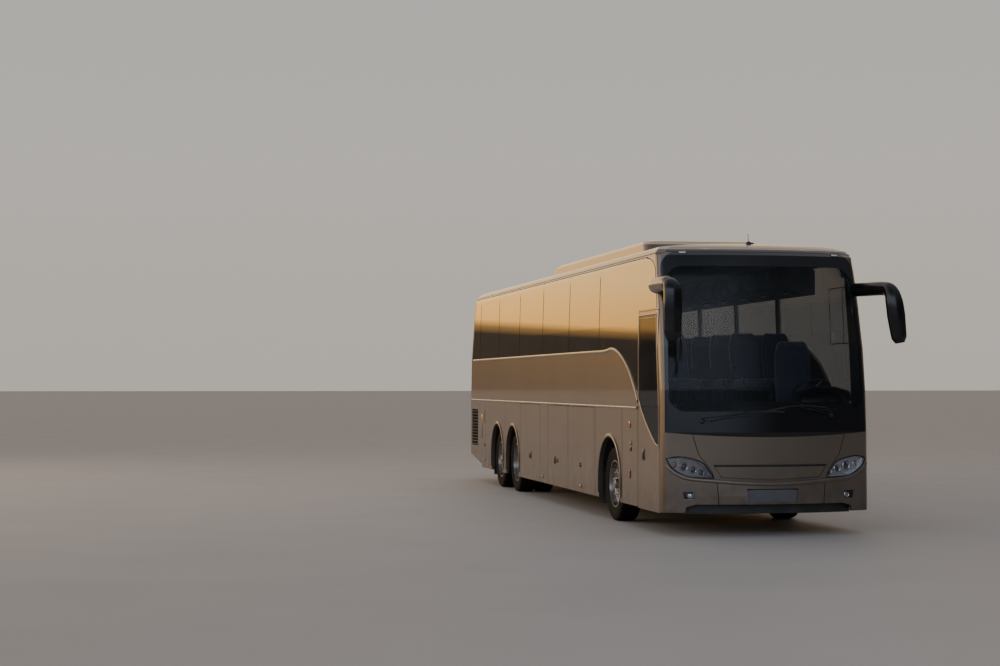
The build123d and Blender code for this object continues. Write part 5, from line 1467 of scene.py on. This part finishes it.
for row in range(SEAT_ROWS):
    for side, _ in SIDES:
        place = at(side * PAIR_MIDDLE, station(SEAT_FIRST_S + SEAT_PITCH * row), FLOOR_TOP)
        stamp(seat_frames, pair[side], place)
settle("passenger_seat_frames", seat_frames, "cabin_trim", "cabin_dark")

# %% [markdown]
# Over the seats run the luggage racks: a long closed bin with rounded edges, and under it a panel with a lamp and
# air nozzles for each row. The section is one outline, carried straight from the first row to the last.

# %% Luggage racks
RACK_SECTION = ((1.185, 2.905), (1.060, 2.905), (0.800, 2.985), (0.750, 3.010), (0.735, 3.050), (0.735, 3.190),
                (0.760, 3.235), (0.820, 3.262), (1.110, 3.262), (1.185, 3.210))
RACK_ENDS = (1.750, 12.450)
FIRST_NOZZLES_S = 1.95
NOZZLES_X = (0.880, 0.980)
PANEL_Z = 2.949
PANEL_SLOPE = 0.31
LAMP_X = 0.930
LAMP_Z = 2.940


def extruded(outline, first, last):
    """A closed (across, height) outline carried straight along the coach."""
    shape = bmesh.new()
    face = shape.faces.new([shape.verts.new((x, station(first), z)) for x, z in outline])
    moved = bmesh.ops.extrude_face_region(shape, geom=[face])["geom"]
    bmesh.ops.translate(shape, verts=[v for v in moved if isinstance(v, bmesh.types.BMVert)],
                        vec=(0, last - first, 0))
    bmesh.ops.recalc_face_normals(shape, faces=shape.faces)
    return shape


racks = bmesh.new()
nozzle = turned(((0.0, 0.0), (0.030, 0.0), (0.028, 0.010), (0.012, 0.012), (0.0, 0.008)), 16)
lamp = rounded_block((0.120, 0.050, 0.012), 0.004, 2)
for side, _ in SIDES:
    stamp(racks, extruded([(side * x, z) for x, z in RACK_SECTION], *RACK_ENDS), look=0)
    for row in range(SEAT_ROWS):
        y = station(FIRST_NOZZLES_S + SEAT_PITCH * row)
        for x in NOZZLES_X:
            z = PANEL_Z - (x - NOZZLES_X[0]) * PANEL_SLOPE
            stamp(racks, nozzle, at(side * x, y, z) @ spun(pi, "X"), 1)
        stamp(racks, lamp, at(side * LAMP_X, y + 0.11, LAMP_Z) @ spun(-side * 0.30, "Y"), 2)
settle("luggage_racks", racks, "cabin_trim", "cabin_grey", "cabin_dark", "white_lens")

# %% [markdown]
# The driver's place: a taller seat with a headrest on a sprung pedestal, the big flat wheel on its column, and
# a hooded cluster on the dashboard. The seat's pads are the passenger pads, drawn larger.

# %% Driver's seat and controls
DRIVER_X = 0.780
CUSHION_PLACE = (DRIVER_X, station(1.170), 1.475)
BACK_PLACE = (DRIVER_X, station(1.490), 1.900)
PEDESTAL_GAP = 0.001
WHEEL_R = 0.225
WHEEL_TILT = -0.62
CLUSTER_TILT = -0.5
PLATFORM_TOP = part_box("front_platform")[1].z
HUB = Vector((DRIVER_X, station(0.800), 1.690))
HOOD_LINE = ((-0.310, 0.520, 1.560), (-0.280, 0.500, 1.660), (-0.120, 0.480, 1.710), (0.120, 0.480, 1.710),
             (0.280, 0.500, 1.660), (0.310, 0.520, 1.560))
driver = bmesh.new()
stamp(driver, cushion, at(*CUSHION_PLACE) @ Matrix.Diagonal((1.16, 1.10, 1.25, 1)))
stamp(driver, back, at(*BACK_PLACE) @ spun(-0.13, "X") @ Matrix.Diagonal((1.20, 1.35, 1.16, 1)))
driver = settle("driver_seat_pads", driver, "seat_fabric", "seat_moquette", sharp=60)

cockpit = bmesh.new()
bellows = [(0.0, 0.0), (0.200, 0.0), (0.200, 0.030)]
for k in range(5):
    bellows += [(0.165, 0.050 + 0.050 * k), (0.195, 0.075 + 0.050 * k)]
bellows += [(0.180, 0.320), (0.0, 0.320)]
stamp(cockpit, turned(bellows, 20), at(DRIVER_X, CUSHION_PLACE[1], PLATFORM_TOP + PEDESTAL_GAP), 0)
tilt = at(*HUB) @ spun(WHEEL_TILT, "X")
stamp(cockpit, swept(circle(WHEEL_R, 40), (0.030, 0.026), 10, ring=True), tilt, 0)
boss = turned(((0.0, -0.030), (0.062, -0.030), (0.070, -0.010), (0.058, 0.014), (0.0, 0.020)), 24)
stamp(cockpit, boss, tilt, 0)
for turn in (0.15, pi - 0.15, -pi / 2 - 0.35, -pi / 2 + 0.35):
    spoke = [(0.050 * cos(turn), 0.050 * sin(turn), -0.006), (0.222 * cos(turn), 0.222 * sin(turn), 0)]
    stamp(cockpit, swept(spoke, (0.030, 0.014)), tilt, 1)
column = [HUB + Vector((0, -0.015, -0.020)), HUB + Vector((0, -0.150, -0.230)),
          (DRIVER_X, station(0.560), 1.300)]
stamp(cockpit, swept(column, (0.090, 0.090), 12), look=0)
hood = swept([(DRIVER_X + x, station(s), z) for x, s, z in HOOD_LINE], (0.200, 0.030), 12, up=(0, 0.3, 1))
stamp(cockpit, hood, look=0)
cluster = rounded_block((0.520, 0.030, 0.150), 0.012, 2)
stamp(cockpit, cluster, at(DRIVER_X, station(0.510), 1.610) @ spun(CLUSTER_TILT, "X"), 2)
dial = turned(((0.0, 0.0), (0.060, 0.0), (0.060, 0.006), (0.055, 0.006), (0.054, 0.003), (0.0, 0.003)), 24)
for x in (-0.175, -0.050, 0.075, 0.190):
    stamp(cockpit, dial, at(DRIVER_X + x, station(0.528), 1.612) @ spun(CLUSTER_TILT - pi / 2, "X"), 1)
settle("cockpit_controls", cockpit, "cabin_trim", "cabin_dark", "satin_alloy", "gloss_black")

# %% [markdown]
# The coach stands on a wide pale floor, so that its weight shows in a soft shadow. The floor is only the stage:
# it is matt with a very faint mottle, and reaches so far that its edge lies at the horizon.

# %% Floor
new_floor = bmesh.new()
bmesh.ops.create_grid(new_floor, x_segments=1, y_segments=1, size=400)
ground_mesh = bpy.data.meshes.new("studio_floor")
new_floor.to_mesh(ground_mesh)
ground = linked("studio_floor", ground_mesh)
tree, shader, where = new_finish("pale_floor")
mottle = between(tree, grain(tree, where, 0.7, 8), (0.34, 0.325, 0.31), (0.40, 0.385, 0.37))
fill(tree, shader, {"Base Color": mottle, "Roughness": 0.75})
ground_mesh.materials.append(finish["pale_floor"])
print("floor under", len(frame["nodes"]), "nodes and the fitted pieces")
